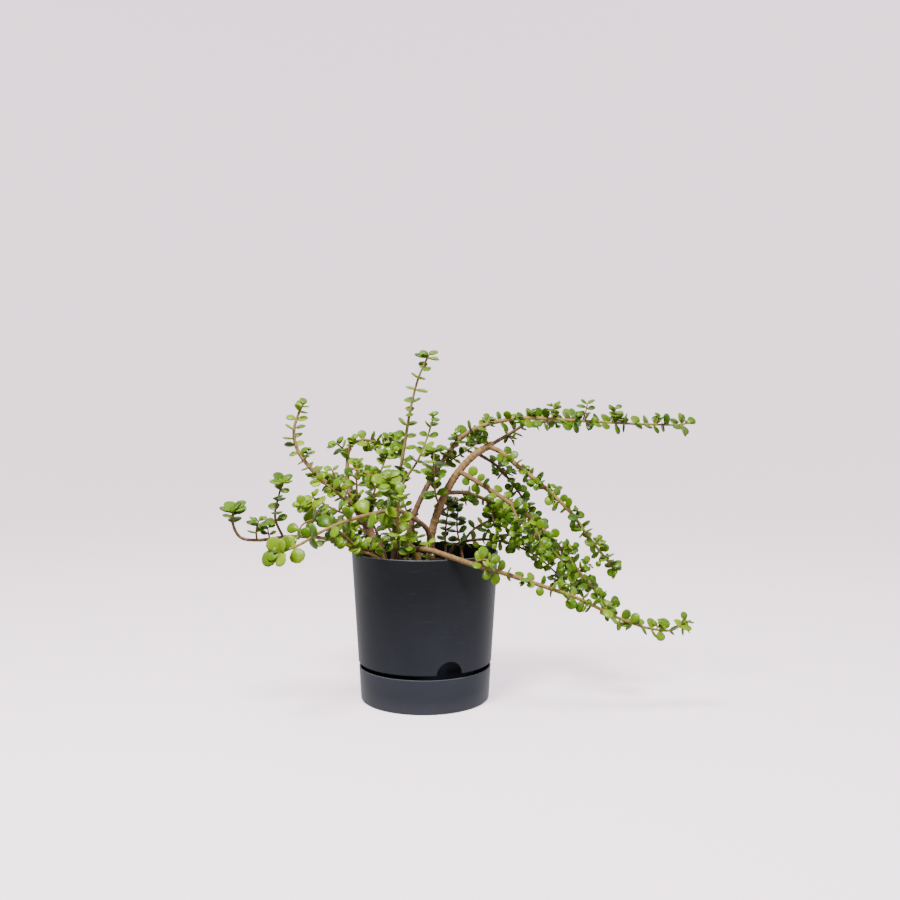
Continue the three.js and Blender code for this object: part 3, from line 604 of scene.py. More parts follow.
STEMS = [
    stem("main_trunk", (11, 8.5), [(10, 5, 128), (7, 1, 167), (8, 0, 202), (19, 2, 239), (38, 8, 275),
        (62, 15, 301), (85, 20, 315)]),
    stem("crest_branch", (5, 2.4), [(83, 19, 314), (106, 28, 327), (129, 36, 340), (150, 42, 343),
        (172, 48, 344), (192, 53, 349)], leafy=0.2, carrier="main_trunk"),
    stem("tan_whip", (6.5, 3), [(79, 18, 312), (95, 14, 305), (113, 8, 290), (150, 0, 260),
        (180, -6, 231), (205, -8, 197), (227, -5, 170), (237, 0, 158)],
        leafy=0.1, every=10, carrier="main_trunk"),
    stem("middle_whip", (6.5, 2.6), [(42, 9, 281), (69, -10, 266), (99, -25, 247), (128, -33, 226),
        (153, -38, 203), (179, -42, 171), (205, -42, 140), (227, -38, 118)],
        leafy=0.06, every=14, carrier="main_trunk"),
    stem("lower_whip", (5.5, 2.2), [(26, 5, 254), (51, 18, 253), (76, 27, 244), (104, 29, 229),
        (135, 25, 204), (162, 20, 179), (186, 18, 151), (197, 18, 134)],
        leafy=0.14, carrier="main_trunk"),
    stem("back_whip", (4.5, 2), [(66, 17, 303), (92, 36, 286), (112, 50, 263), (132, 60, 235),
        (150, 68, 204), (168, 72, 171)], leafy=0.15, leaf=13, carrier="main_trunk"),
    stem("trunk_front_shoot", (3, 2), [(19, 2, 239), (14, -5, 249), (12, -10, 263), (11, -13, 279),
        (11, -13, 294), (12, -12, 307)], leafy=0.2, every=9, leaf=17, carrier="main_trunk"),
    stem("upper_arch", (8.5, 2.2), [(-26, 12, 128), (-24, 12, 175), (-15, 14, 223), (2, 22, 261),
        (24, 28, 296), (47, 22, 324), (76, 14, 339), (119, 4, 347), (186, -10, 344), (258, -18, 340),
        (312, -22, 339), (320, -24, 341)], leafy=0.32, every=12, leaf=15),
    stem("arch_side_shoot", (2.8, 1.8), [(15, 26, 284), (39, 39, 298), (62, 51, 312), (74, 56, 324)],
        leafy=0.2, leaf=13, carrier="upper_arch"),
    stem("arch_spur_1", (2, 1.6), [(159, -5, 346), (160, -7, 354), (159, -8, 362)],
        leafy=0.3, every=8, leaf=12, carrier="upper_arch"),
    stem("arch_spur_2", (2, 1.6), [(195, -11, 345), (198, -12, 355), (200, -13, 365)],
        leafy=0.3, every=8, leaf=12, carrier="upper_arch"),
    stem("arch_spur_3", (2, 1.6), [(230, -15, 343), (232, -17, 352), (233, -19, 359)],
        leafy=0.3, every=8, leaf=12, carrier="upper_arch"),
    stem("arch_hanging_spur", (2.2, 1.6), [(77, 15, 338), (72, 23, 331), (67, 30, 322), (62, 36, 314)],
        leafy=0.3, every=9, leaf=12, carrier="upper_arch"),
    stem("front_whip", (8, 2.4), [(-28, -30, 128), (-32, -35, 172), (-23, -45, 186), (1, -65, 192),
        (29, -85, 187), (57, -97, 179), (88, -102, 171), (134, -102, 156), (180, -97, 139),
        (225, -88, 116), (264, -80, 102), (290, -74, 99), (307, -70, 109)],
        leafy=0.41, every=13),
    stem("front_whip_shoot", (2.8, 1.8), [(57, -97, 179), (63, -103, 184), (71, -108, 186),
        (79, -111, 184)], leafy=0.3, every=7, carrier="front_whip"),
    stem("rim_whip", (5, 2), [(30, 34, 130), (30, 39, 168), (38, 44, 183), (58, 50, 189), (90, 52, 189),
        (117, 48, 182), (143, 44, 169), (166, 40, 150), (189, 36, 127)],
        leafy=0.3, every=12, leaf=13),
    stem("tall_shoot", (6.5, 2.6), [(-43, 20, 128), (-41, 20, 174), (-40, 22, 205), (-35, 26, 261),
        (-27, 30, 313), (-19, 30, 361), (-9, 28, 399), (4, 26, 428)],
        leafy=0.4, every=15, leaf=16),
    stem("second_shoot", (4, 2), [(-38, 24, 240), (-26, 14, 269), (-10, 10, 293), (1, 11, 319),
        (8, 12, 341), (10, 12, 350)], leafy=0.3, every=12, carrier="tall_shoot"),
    stem("left_trunk", (11, 2.8), [(-38, -18, 128), (-53, -22, 182), (-71, -18, 213), (-91, -10, 242),
        (-115, -6, 261), (-142, -2, 285), (-159, 2, 308), (-164, 6, 332), (-158, 10, 355),
        (-153, 12, 366)], leafy=0.42),
    stem("fork_stem", (6.5, 2.4), [(-87, -11, 238), (-96, 4, 261), (-98, 13, 291), (-95, 21, 312),
        (-79, 35, 320), (-51, 47, 313), (-38, 52, 317)],
        leafy=0.42, every=10, leaf=15, carrier="left_trunk"),
    stem("fork_twig_left", (2.6, 1.8), [(-98, 15, 300), (-103, 14, 308), (-112, 11, 316)],
        leafy=0.5, every=8, carrier="fork_stem"),
    stem("fork_twig_right", (2.6, 1.8), [(-97, 11, 286), (-90, 3, 284), (-82, -4, 281), (-72, -11, 279),
        (-62, -18, 276)], leafy=0.2, every=10, carrier="fork_stem"),
    stem("left_long_stem", (5.5, 3.2), [(-40, -38, 132), (-53, -47, 176), (-76, -51, 189),
        (-110, -59, 203), (-153, -70, 208), (-193, -82, 205), (-210, -87, 209), (-218, -88, 224),
        (-218, -86, 241)], leafy=0.94, every=7, leaf=15),
    stem("left_twig_1", (2.4, 1.8), [(-192, -82, 205), (-192, -85, 217), (-189, -86, 228)],
        leafy=0.4, every=9, carrier="left_long_stem"),
    stem("left_twig_2", (2, 1.6), [(-178, -78, 206), (-179, -80, 213), (-180, -80, 220)],
        leafy=0.4, every=8, leaf=10, carrier="left_long_stem"),
    stem("left_twig_3", (3.4, 2), [(-163, -73, 207), (-170, -79, 225), (-171, -82, 236),
        (-167, -80, 256), (-163, -79, 272)],
        leafy=0.3, every=13, leaf=15, carrier="left_long_stem"),
    stem("sweeping_stem", (7.5, 2.6), [(12, -12, 130), (9, -20, 180), (3, -31, 212), (-13, -46, 227),
        (-32, -62, 238), (-59, -78, 235), (-88, -94, 228), (-115, -110, 217), (-136, -126, 205),
        (-155, -139, 198)], leafy=0.52, every=12, leaf=20),
    stem("low_left_shoot", (5, 2.2), [(-52, -26, 134), (-62, -34, 180), (-81, -46, 198),
        (-102, -60, 213), (-120, -72, 233), (-137, -82, 247)], leafy=0.35, every=10, leaf=16),
    stem("front_left_shoot", (3.4, 2), [(-71, -18, 212), (-82, -35, 224), (-94, -48, 232),
        (-107, -57, 239), (-130, -70, 254)], leafy=0.15, every=10, leaf=16, carrier="left_trunk"),
    stem("upper_left_shoot", (3.2, 2), [(-82, -14, 229), (-90, -27, 242), (-101, -38, 253),
        (-112, -46, 264), (-126, -50, 272)], leafy=0.15, every=10, carrier="left_trunk"),
    stem("front_centre_shoot", (4, 2.2), [(-40, 21, 204), (-41, -2, 222), (-42, -26, 240),
        (-43, -46, 256), (-44, -58, 270)], leafy=0.25, every=10, leaf=18, carrier="tall_shoot"),
    stem("front_riser", (4.5, 2.2), [(-24, -34, 132), (-30, -52, 189), (-30, -67, 217), (-29, -78, 240),
        (-26, -84, 258)], leafy=0.3, leaf=17),
    stem("centre_shoot", (4, 2.2), [(-61, -20, 197), (-66, -10, 218), (-66, -2, 240), (-61, 8, 265),
        (-52, 12, 291), (-48, 12, 302)], leafy=0.25, every=10, carrier="left_trunk"),
    stem("centre_left_shoot", (3.4, 2), [(-78, -15, 224), (-81, -24, 243), (-82, -29, 262),
        (-82, -30, 292)], leafy=0.2, every=10, carrier="left_trunk"),
    stem("left_riser", (3, 2), [(-101, -8, 250), (-105, -17, 262), (-109, -22, 273), (-112, -26, 284)],
        leafy=0.2, every=9, leaf=13, carrier="left_trunk"),
    stem("left_fan_shoot", (3, 2), [(-115, -6, 262), (-119, 4, 264), (-126, 12, 266), (-134, 18, 270),
        (-142, 22, 277)], leafy=0.2, every=9, carrier="left_trunk"),
    stem("left_hanging_shoot", (3, 2), [(-76, -51, 189), (-92, -64, 208), (-103, -77, 218),
        (-115, -88, 225), (-127, -95, 229), (-137, -100, 224), (-142, -103, 210)],
        leafy=0.3, leaf=16, carrier="left_long_stem"),
    stem("rim_sprout_1", (2.6, 1.8), [(-16, -50, 138), (-18, -60, 176), (-19, -68, 194),
        (-19, -71, 206)], leafy=0.72, every=9, leaf=13),
    stem("rim_sprout_2", (2.4, 1.8), [(6, -46, 138), (7, -52, 170), (6, -56, 186), (6, -58, 198)],
        leafy=0.72, every=10, leaf=13),
    stem("rim_sprout_3", (2.4, 1.8), [(-40, -52, 140), (-43, -60, 178), (-47, -66, 194),
        (-50, -69, 203)], leafy=0.75, every=9, leaf=12),
    stem("pale_stump", (9, 7), [(-8, -22, 134), (-9, -30, 172), (-12, -34, 187), (-20, -38, 195)]),
    stem("back_shoot_1", (3.4, 2), [(26, 18, 132), (26, 22, 169), (25, 26, 192), (26, 30, 211),
        (30, 34, 240)], leafy=0.5, every=9),
    stem("back_shoot_2", (3.4, 2), [(50, 28, 134), (47, 33, 172), (42, 38, 194), (40, 44, 212),
        (42, 50, 230)], leafy=0.5, every=9),
    stem("thin_branch", (3.4, 2), [(11, 0, 213), (18, 10, 226), (27, 17, 234), (38, 26, 241),
        (50, 36, 246)], leafy=0.35, every=10, leaf=13, carrier="main_trunk"),
    stem("hanging_shoot_1", (2.8, 1.8), [(84, 28, 241), (84, 24, 231), (86, 22, 219), (90, 20, 208),
        (94, 20, 197)], leafy=0.15, every=10, carrier="lower_whip"),
    stem("hanging_shoot_2", (2.8, 1.8), [(105, -26, 243), (109, -36, 234), (112, -42, 224),
        (114, -44, 214), (113, -44, 204)], leafy=0.15, every=10, carrier="middle_whip"),
    stem("hanging_shoot_3", (2.8, 1.8), [(104, 29, 229), (106, 22, 220), (110, 18, 210), (115, 16, 200),
        (119, 16, 190)], leafy=0.15, every=9, carrier="lower_whip"),
    stem("hanging_shoot_4", (2.8, 1.8), [(128, -33, 226), (133, -43, 217), (137, -49, 206),
        (140, -52, 194)], leafy=0.15, every=9, leaf=13, carrier="middle_whip"),
    stem("low_left_side_shoot", (2.8, 1.8), [(-81, -46, 198), (-92, -62, 203), (-103, -75, 205),
        (-113, -84, 204)], leafy=0.3, every=10, leaf=15, carrier="low_left_shoot"),
    stem("back_left_shoot", (4.5, 2.2), [(-50, 26, 132), (-60, 44, 190), (-80, 58, 225), (-105, 66, 250),
        (-125, 70, 268)], leafy=0.3),
    stem("back_upright_shoot", (4.5, 2.2), [(-30, 38, 132), (-40, 56, 185), (-60, 72, 220),
        (-75, 84, 250), (-82, 90, 275)], leafy=0.3),
    stem("back_low_shoot", (4.5, 2.2), [(-64, 22, 134), (-71, 37, 186), (-86, 57, 204), (-106, 76, 212),
        (-135, 86, 215), (-155, 92, 228)], leafy=0.35),
    stem("back_centre_shoot", (4, 2.2), [(-6, 42, 132), (-10, 56, 180), (-22, 68, 215), (-34, 76, 245),
        (-40, 80, 270)], leafy=0.35, leaf=13),
    stem("back_trailing_shoot", (4, 2), [(44, 48, 134), (50, 60, 186), (70, 74, 206), (100, 84, 214),
        (135, 94, 205), (165, 100, 180)], leafy=0.4, leaf=13),
]
BY_NAME = {entry["name"]: entry for entry in STEMS}
print("stems:", len(STEMS), "rooted:", sum(entry["carrier"] is None for entry in STEMS))

# %% [markdown]
# ## From points to a smooth course
# A stem bends without corners, so a smooth curve runs through its points. A centripetal spline is used,
# because it makes no loops where points lie unevenly. Blender can sample such a spline once each
# stretch has Bezier handles, and the samples are then walked at even distances, since both the bark's
# rings and the leaves are spaced by length.


# %% Walk a course
def held(value, low, high):
    return min(max(value, low), high)


def handles(before, start, end, after):
    """The two Bezier handles of one stretch of a centripetal spline."""
    gap_before = max((start - before).length, 1e-6) ** 0.5
    gap = max((end - start).length, 1e-6) ** 0.5
    gap_after = max((after - end).length, 1e-6) ** 0.5
    along = (end - start) / gap
    leaving = ((start - before) / gap_before - (end - before) / (gap_before + gap) + along) * gap
    arriving = (along - (after - start) / (gap + gap_after) + (after - end) / gap_after) * gap
    return start + leaving / 3, end - arriving / 3


class Course:
    """A smooth line through points in metres, walked by length."""

    SAMPLES = 17

    def __init__(self, points):
        ends = [2 * points[0] - points[1], *points, 2 * points[-1] - points[-2]]
        self.points = [points[0]]
        for before, start, end, after in zip(ends, ends[1:], ends[2:], ends[3:]):
            first, second = handles(before, start, end, after)
            self.points += interpolate_bezier(start, first, second, end, self.SAMPLES)[1:]
        self.ways = [0.0]
        for near, far in zip(self.points, self.points[1:]):
            self.ways.append(self.ways[-1] + (far - near).length)
        self.length = self.ways[-1]

    def at(self, part):
        """The point and the direction at a part of the length."""
        way = held(part, 0.0, 1.0) * self.length
        row = 1
        while row < len(self.ways) - 1 and self.ways[row] < way:
            row += 1
        near, far = self.points[row - 1], self.points[row]
        share = (way - self.ways[row - 1]) / max(self.ways[row] - self.ways[row - 1], 1e-9)
        return near.lerp(far, share), (far - near).normalized()


COURSES = {entry["name"]: Course([Vector(point) * MM for point in entry["route"]]) for entry in STEMS}
print("all stems together:", round(sum(course.length for course in COURSES.values()), 2), "m")

# %% [markdown]
# ## Chances that stay the same
# The construction model spreads its leaves by a small formula instead of a random generator, and the same
# formula is used here, so that every leaf it holds is found again in the same place.


# %% Repeat the formula
def chance(index, turn):
    """A number from 0 to 1 that is always the same for the same leaf."""
    wave = math.sin(index * 12.9898 + turn * 78.233) * 43758.5453
    return wave - math.floor(wave)


print("first chances:", [round(chance(1, turn), 3) for turn in range(4)])

# %% [markdown]
# ## Bark
# Old stems of this plant are pinkish brown with rings left by fallen leaf pairs, and young ones are smooth,
# from wine red to green. One finish covers them all. Three numbers are stored on the mesh itself and read
# by Attribute nodes: how tan the bark is, how green, and how near a point is to a ring.
# Colour then follows the stem however it bends, which a pattern in space could not do.


# %% Bark finish
def bark():
    finish = Finish("stem_bark")
    tan = finish.attribute("tan")
    green = finish.attribute("green")
    ring = finish.attribute("ring")
    streaks = finish.noise(1500, 4, 0.6, stretch=(1, 1, 0.35))
    blotch = finish.noise(260, 4, 0.6)
    grain = finish.noise(3200, 3, 0.6)
    wood = finish.ramp(tan, [(0.0, (0.062, 0.027, 0.015)), (0.35, (0.168, 0.083, 0.036)),
                             (0.7, (0.33, 0.190, 0.066)), (1.0, (0.43, 0.270, 0.062))])
    wood = finish.mix(blotch.between(0.35, 0.65) * 0.5, wood, (0.10, 0.055, 0.028, 1))
    wood = finish.mix(streaks.between(0.55, 0.75) * 0.3, wood, (0.50, 0.37, 0.18, 1))
    young = finish.mix(blotch.between(0.4, 0.62), (0.17, 0.24, 0.03, 1), (0.30, 0.15, 0.05, 1))
    colour = finish.mix(green, wood, young)
    scar = ring * (1 - green * 0.5) * blotch.between(0.3, 0.65)
    colour = finish.mix(scar * 0.75, colour, (0.075, 0.035, 0.02, 1))
    return finish.shade({
        "Base Color": colour, "Roughness": 0.62 + grain * 0.2 - green * 0.22,
        "Normal": finish.bump(grain + streaks + scar, 0.7, 0.0005), "Specular IOR Level": 0.4})


bark_finish = bark()
print("bark finish:", bark_finish.name)

# %% [markdown]
# ## Stems
# A stem is made the way a rope is laid: a circle is extruded a millimetre or two at a time, and each new ring
# is moved, turned and scaled onto the next place of the course. Turning it only as much as the
# course turns keeps the tube from twisting. The radius swells a little at each old leaf pair, which
# makes the jointed look of the real stems. How tan a stem is runs from base to tip. How green it gets, and
# from what part of its length, stands in a second list, and a branch without an entry takes its carrier's.

# %% Shades of the stems
BARK_TAN = {
    "main_trunk": (0.5, 0.75), "crest_branch": (0.25, 0.3), "tan_whip": (0.8, 0.95),
    "middle_whip": (0.5, 0.8), "lower_whip": (0.4, 0.6), "back_whip": (0.1, 0.25), "thin_branch": (0.25, 0.3),
    "upper_arch": (0.0, 1.5), "arch_side_shoot": (0.3, 0.4), "front_whip": (0.35, 1.1),
    "rim_whip": (0.4, 0.6), "tall_shoot": (0.4, 0.55), "second_shoot": (0.8, 0.9), "left_trunk": (0.28, 0.75),
    "fork_stem": (0.6, 0.65), "left_long_stem": (0.75, 0.5), "left_twig_1": (0.5, 0.4),
    "left_twig_2": (0.5, 0.4), "left_twig_3": (0.35, 0.3), "sweeping_stem": (0.1, 0.9),
    "low_left_shoot": (0.5, 0.6), "pale_stump": (1.0, 1.0), "front_riser": (0.5, 0.7)}
BARK_GREEN = {
    "tan_whip": (0.3, 0.5), "middle_whip": (0.35, 0.7), "lower_whip": (0.4, 0.7), "rim_whip": (0.3, 0.75),
    "upper_arch": (0.5, 0.55), "front_whip": (0.6, 0.5), "tall_shoot": (0.3, 0.65),
    "second_shoot": (0.0, 1.0), "left_trunk": (0.7, 0.35), "crest_branch": (0.75, 0.4),
    "sweeping_stem": (0.55, 0.4), "left_long_stem": (1.0, 0.0), "main_trunk": (1.0, 0.0),
    "left_twig_3": (1.0, 0.0), "left_twig_1": (1.0, 0.0)}
USUAL_TAN, USUAL_GREEN = (0.45, 0.45), (0.4, 0.5)
print("stems with a shade of their own:", len(BARK_TAN))

# %% Lay a stem
RING_STEP = 1.7 * MM
BARE_EVERY = 7
LUMPINESS, LUMPS_PER_METRE = 0.05, 220
GREENING = 3
SWELL, SWELL_REACH, SCAR_REACH = 0.13, 1.3 * MM, 0.9 * MM
BARK_NUMBERS = ("tan", "green", "ring")


def next_frame(frame, point, heading, radius):
    """The frame of the next ring: turned as little as possible from the last one."""
    old = frame.to_3x3().col[2].normalized()
    turned = old.rotation_difference(heading).to_matrix() @ frame.to_3x3().normalized()
    return Matrix.Translation(point) @ turned.to_4x4() @ Matrix.Diagonal((radius, radius, radius, 1))


def old_pairs(entry, course):
    """Parts of the length at which a leaf pair grows or has fallen off."""
    first = (entry["leafy"] or 0) * course.length / MM
    every = entry["every"] if entry["leafy"] else BARE_EVERY
    while first - every > 0:
        first -= every
    count = int((course.length / MM - first) / every)
    return [(first + every * (pair + 0.5 * chance(pair, every) - 0.25)) * MM for pair in range(count + 1)]


def lay_stem(course, thick, sides, nodes, tan, green, lumpiness=LUMPINESS):
    """A closed tube along a course. nodes are the ways at which it swells."""
    bm = bmesh.new()
    layers = {name: bm.verts.layers.float.new(name) for name in BARK_NUMBERS}
    steps = max(3, round(course.length / RING_STEP))
    point, heading = course.at(0)
    turned = heading.to_track_quat("Z", "Y").to_matrix().to_4x4()
    frame = Matrix.Translation(point) @ turned @ Matrix.Diagonal((thick[0] / 2 * MM,) * 3 + (1,))
    made = bmesh.ops.create_circle(bm, cap_ends=True, segments=sides, radius=1, matrix=frame)
    ring = made["verts"]
    edges = list({edge for vert in ring for edge in vert.link_edges})
    green_from, green_most = green

    def near_pair(way, reach):
        nearest = min((abs(way - node) for node in nodes), default=1)
        return math.exp(-(nearest / reach) ** 2)

    def mark(verts, way):
        part = way / course.length
        for vert in verts:
            vert[layers["tan"]] = held(tan[0] + (tan[1] - tan[0]) * part, 0, 1)
            vert[layers["green"]] = green_most * held((part - green_from) * GREENING, 0, 1)
            vert[layers["ring"]] = near_pair(way, SCAR_REACH)

    mark(ring, 0)
    for step in range(1, steps + 1):
        part = step / steps
        way = part * course.length
        point, heading = course.at(part)
        radius = (thick[0] + (thick[1] - thick[0]) * part) / 2 * MM
        swell = 1 + SWELL * near_pair(way, SWELL_REACH)
        swell += lumpiness * noise.noise(point * LUMPS_PER_METRE)
        new = next_frame(frame, point, heading, radius * swell)
        grown = bmesh.ops.extrude_edge_only(bm, edges=edges)["geom"]
        ring = [item for item in grown if isinstance(item, bmesh.types.BMVert)]
        edges = [item for item in grown if isinstance(item, bmesh.types.BMEdge)]
        bmesh.ops.transform(bm, matrix=new @ frame.inverted(), verts=ring)
        mark(ring, way)
        frame = new
    bmesh.ops.edgeloop_fill(bm, edges=edges)
    return smooth_outwards(bm)


def join(bm, other):
    """Adds a bmesh to another, with its numbers, and frees it."""
    mesh = bpy.data.meshes.new("joining")
    other.to_mesh(mesh)
    other.free()
    bm.from_mesh(mesh)
    bpy.data.meshes.remove(mesh)


def root_of(name):
    while BY_NAME[name]["carrier"]:
        name = BY_NAME[name]["carrier"]
    return name


def look_up(table, name, usual):
    """A stem's own entry, or that of the stem that carries it."""
    while name:
        if name in table:
            return table[name]
        name = BY_NAME[name]["carrier"]
    return usual


print("ring step:", RING_STEP / MM, "mm")

# %% [markdown]
# ## Short side shoots
# Along the whips the real plant carries short spurs, each up to two centimetres of thin green stem with a
# few small leaves. They are what makes the whips look bushy. They are too many and too small to be drawn
# one by one, so each whip says over what stretch it carries them, how far apart and how long they are, and
# a seeded generator picks their side, length and lean.

# %% Plan the spurs
SPURS = {
    "tan_whip": (0.12, 0.97, 21, (7, 15)), "middle_whip": (0.55, 0.97, 16, (7, 17)),
    "lower_whip": (0.28, 0.97, 16, (8, 22)), "back_whip": (0.2, 0.97, 18, (7, 17)),
    "crest_branch": (0.15, 0.7, 24, (6, 12)), "upper_arch": (0.36, 0.93, 24, (4, 9)),
    "rim_whip": (0.42, 0.97, 17, (6, 15)), "front_whip": (0.52, 0.97, 28, (5, 11)),
    "hanging_shoot_1": (0.2, 0.95, 16, (6, 14)), "hanging_shoot_2": (0.2, 0.95, 18, (6, 14)),
    "hanging_shoot_3": (0.2, 0.95, 16, (6, 14)), "hanging_shoot_4": (0.2, 0.95, 18, (6, 12)),
    "left_trunk": (0.42, 0.72, 24, (6, 14)), "fork_stem": (0.45, 0.97, 16, (6, 14)),
    "centre_shoot": (0.3, 0.95, 30, (7, 14)), "front_centre_shoot": (0.35, 0.95, 34, (7, 14)),
    "low_left_shoot": (0.5, 0.95, 34, (7, 14)), "back_left_shoot": (0.4, 0.95, 24, (7, 14)),
    "back_upright_shoot": (0.4, 0.95, 24, (7, 14)), "back_low_shoot": (0.4, 0.95, 22, (7, 14)),
    "back_centre_shoot": (0.4, 0.95, 24, (7, 14)), "back_trailing_shoot": (0.45, 0.95, 22, (7, 14))}


def plan_spurs(entry):
    """Courses of a stem's spurs, as (course, leaf length) pairs."""
    if entry["name"] not in SPURS:
        return []
    first, last, every, lengths = SPURS[entry["name"]]
    course = COURSES[entry["name"]]
    dice = random.Random(entry["name"])
    count = int((last - first) * course.length / (every * MM))
    spurs = []
    for number in range(count + 1):
        share = (number + dice.uniform(-0.3, 0.3)) / max(count, 1)
        point, heading = course.at(first + (last - first) * share)
        side = heading.cross(Vector((0, 0, 1))).normalized()
        upward = side.cross(heading)
        turn = math.radians(dice.gauss(90 if number % 2 else -90, 40))
        way = side * math.cos(turn) + upward * math.sin(turn) + heading * dice.uniform(0.3, 0.9)
        way = way.normalized() * dice.uniform(*lengths) * MM
        rise = Vector((0, 0, dice.uniform(0.5, 3.5))) * MM
        spurs.append((Course([point, point + way * 0.5 + rise * 0.3, point + way + rise]),
                      entry["leaf"] * dice.uniform(0.8, 0.98)))
    return spurs


SPUR_COURSES = {entry["name"]: plan_spurs(entry) for entry in STEMS}
print("spurs:", sum(len(spurs) for spurs in SPUR_COURSES.values()))

# %% Build the stems of each rooted plant
SPUR_THICK, SPUR_SIDES, SPUR_TAN, SPUR_GREEN = (1.9, 1.4), 6, (0.5, 0.5), (0, 0.9)
THICK_STEM, THICK_SIDES, THIN_SIDES = 6, 12, 8
FAMILIES = {}
for entry in STEMS:
    FAMILIES.setdefault(root_of(entry["name"]), []).append(entry)

for root, members in FAMILIES.items():
    wood = bmesh.new()
    for entry in members:
        course = COURSES[entry["name"]]
        tan = look_up(BARK_TAN, entry["name"], USUAL_TAN)
        green = look_up(BARK_GREEN, entry["name"], USUAL_GREEN) if entry["leafy"] else (1, 0)
        sides = THICK_SIDES if entry["thick"][0] > THICK_STEM else THIN_SIDES
        join(wood, lay_stem(course, entry["thick"], sides, old_pairs(entry, course), tan, green))
        for spur, leaf in SPUR_COURSES[entry["name"]]:
            join(wood, lay_stem(spur, SPUR_THICK, SPUR_SIDES, [], SPUR_TAN, SPUR_GREEN, 0))
    piece = as_object(wood, root + "_wood")
    piece.data.materials.append(bark_finish)
    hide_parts(*[entry["name"] for entry in members])
    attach(piece, "root")
    print(piece.name, "faces:", len(piece.data.polygons))

# %% [markdown]
# ## Leaf finish
# A leaf is a thick water store under a waxy skin. The skin gives soft sheen, the flesh glows a little
# where light passes the rim, and the green runs from deep to almost yellow with age and light. Each leaf
# holds its own tone, and each point knows how far it lies along and across the leaf, so the rim and
# the base can be a little paler than the middle, as on the real ones.


# %% Leaf material
def leaf_skin():
    finish = Finish("leaf_skin")
    tone = finish.attribute("tone")
    along = finish.attribute("leaf_along")
    across = finish.attribute("leaf_across")
    cells = finish.noise(2600, 3, 0.6)
    cloud = finish.noise(320, 3, 0.5)
    rim = across.maths("ABSOLUTE").between(0.72, 1.0)
    base = 1 - along.between(0.0, 0.3)
    mixed = tone + (cloud - 0.5) * 0.35
    colour = finish.ramp(mixed, [(0.0, (0.016, 0.046, 0.002)), (0.3, (0.046, 0.112, 0.002)),
                                 (0.6, (0.122, 0.228, 0.002)), (0.85, (0.225, 0.345, 0.003)),
                                 (1.0, (0.34, 0.43, 0.012))])
    colour = finish.mix(rim * 0.22, colour, (0.24, 0.31, 0.01, 1))
    colour = finish.mix(base * 0.3, colour, (0.30, 0.33, 0.015, 1))
    colour = finish.mix(cells.between(0.55, 0.8) * 0.08, colour, (0.32, 0.42, 0.015, 1))
    return finish.shade({
        "Base Color": colour, "Roughness": 0.22 + cells * 0.14 + cloud * 0.06,
        "Normal": finish.bump(cells + cloud * 1.5, 0.22, 0.0005), "Specular IOR Level": 0.28,
        "Subsurface Weight": 0.15, "Subsurface Radius": (0.4, 1.0, 0.12), "Subsurface Scale": 0.0015})


leaf_finish = leaf_skin()
print("leaf finish:", leaf_finish.name)

# %% [markdown]
# ## Leaf shapes
# All leaves come from a few patterns. Each pattern is a small sphere of 48 faces, laid along X and pressed
# flat. Its rings are made narrow near the base and wide near the tip, which gives the round paddle with a
# short neck. Then it is cupped across and bent along, each pattern by its own amount. With well over a
# thousand leaves on the plant, few faces and several patterns matter more than fine detail on one.

# %% Press the leaf patterns
LEAF_WIDENING = (0.0, 0.34, 0.74, 1.0, 1.07, 1.05, 0.0)
LEAF_SIDES, LEAF_RINGS = 8, 6
UNDERSIDE_FULLNESS = 1.25


def leaf_pattern(width, thickness, cup, bend):
    """A leaf of unit length from the origin along +X, with its upper side towards +Z."""
    bm = bmesh.new()
    bmesh.ops.create_uvsphere(bm, u_segments=LEAF_SIDES, v_segments=LEAF_RINGS, radius=0.5)
    bmesh.ops.rotate(bm, verts=bm.verts, cent=(0, 0, 0), matrix=Matrix.Rotation(math.radians(90), 3, "Y"))
    bmesh.ops.translate(bm, verts=bm.verts, vec=(0.5, 0, 0))
    layers = [bm.verts.layers.float.new(name) for name in ("leaf_along", "leaf_across", "tone")]
    for vert in bm.verts:
        along, across, rise = vert.co
        ring = round(math.acos(held(1 - 2 * along, -1, 1)) / math.pi * LEAF_RINGS)
        widen = LEAF_WIDENING[ring]
        vert[layers[0]] = along
        vert[layers[1]] = across / max(math.hypot(across, rise), 1e-6)
        side = across * widen * width
        lift = rise * thickness * (1.0 if rise > 0 else UNDERSIDE_FULLNESS) * min(1, widen + 0.2)
        vert.co = (along, side, lift + cup * side * side - bend * along * along)
    return smooth_outwards(bm)


PATTERNS = [leaf_pattern(*sizes) for sizes in (
    (0.80, 0.18, 0.35, 0.04), (0.86, 0.17, 0.15, 0.12), (0.74, 0.19, 0.55, -0.06), (0.90, 0.16, 0.25, 0.02),
    (0.78, 0.20, 0.05, 0.18), (0.83, 0.17, 0.45, -0.10))]
print("faces in a leaf:", len(PATTERNS[0].faces))

# %% [markdown]
# ## Where the leaves go
# Leaves stand in pairs along a stem, each pair turned against the last. The construction model holds the
# even pairs, and the pairs between are added here, except on the sparse stems, where the photograph shows
# few leaves. A living leaf turns its face to the light, so the added ones are laid partly across it. Every
# stem and spur ends in a crown of young leaves, and a few stems end in a larger rosette.


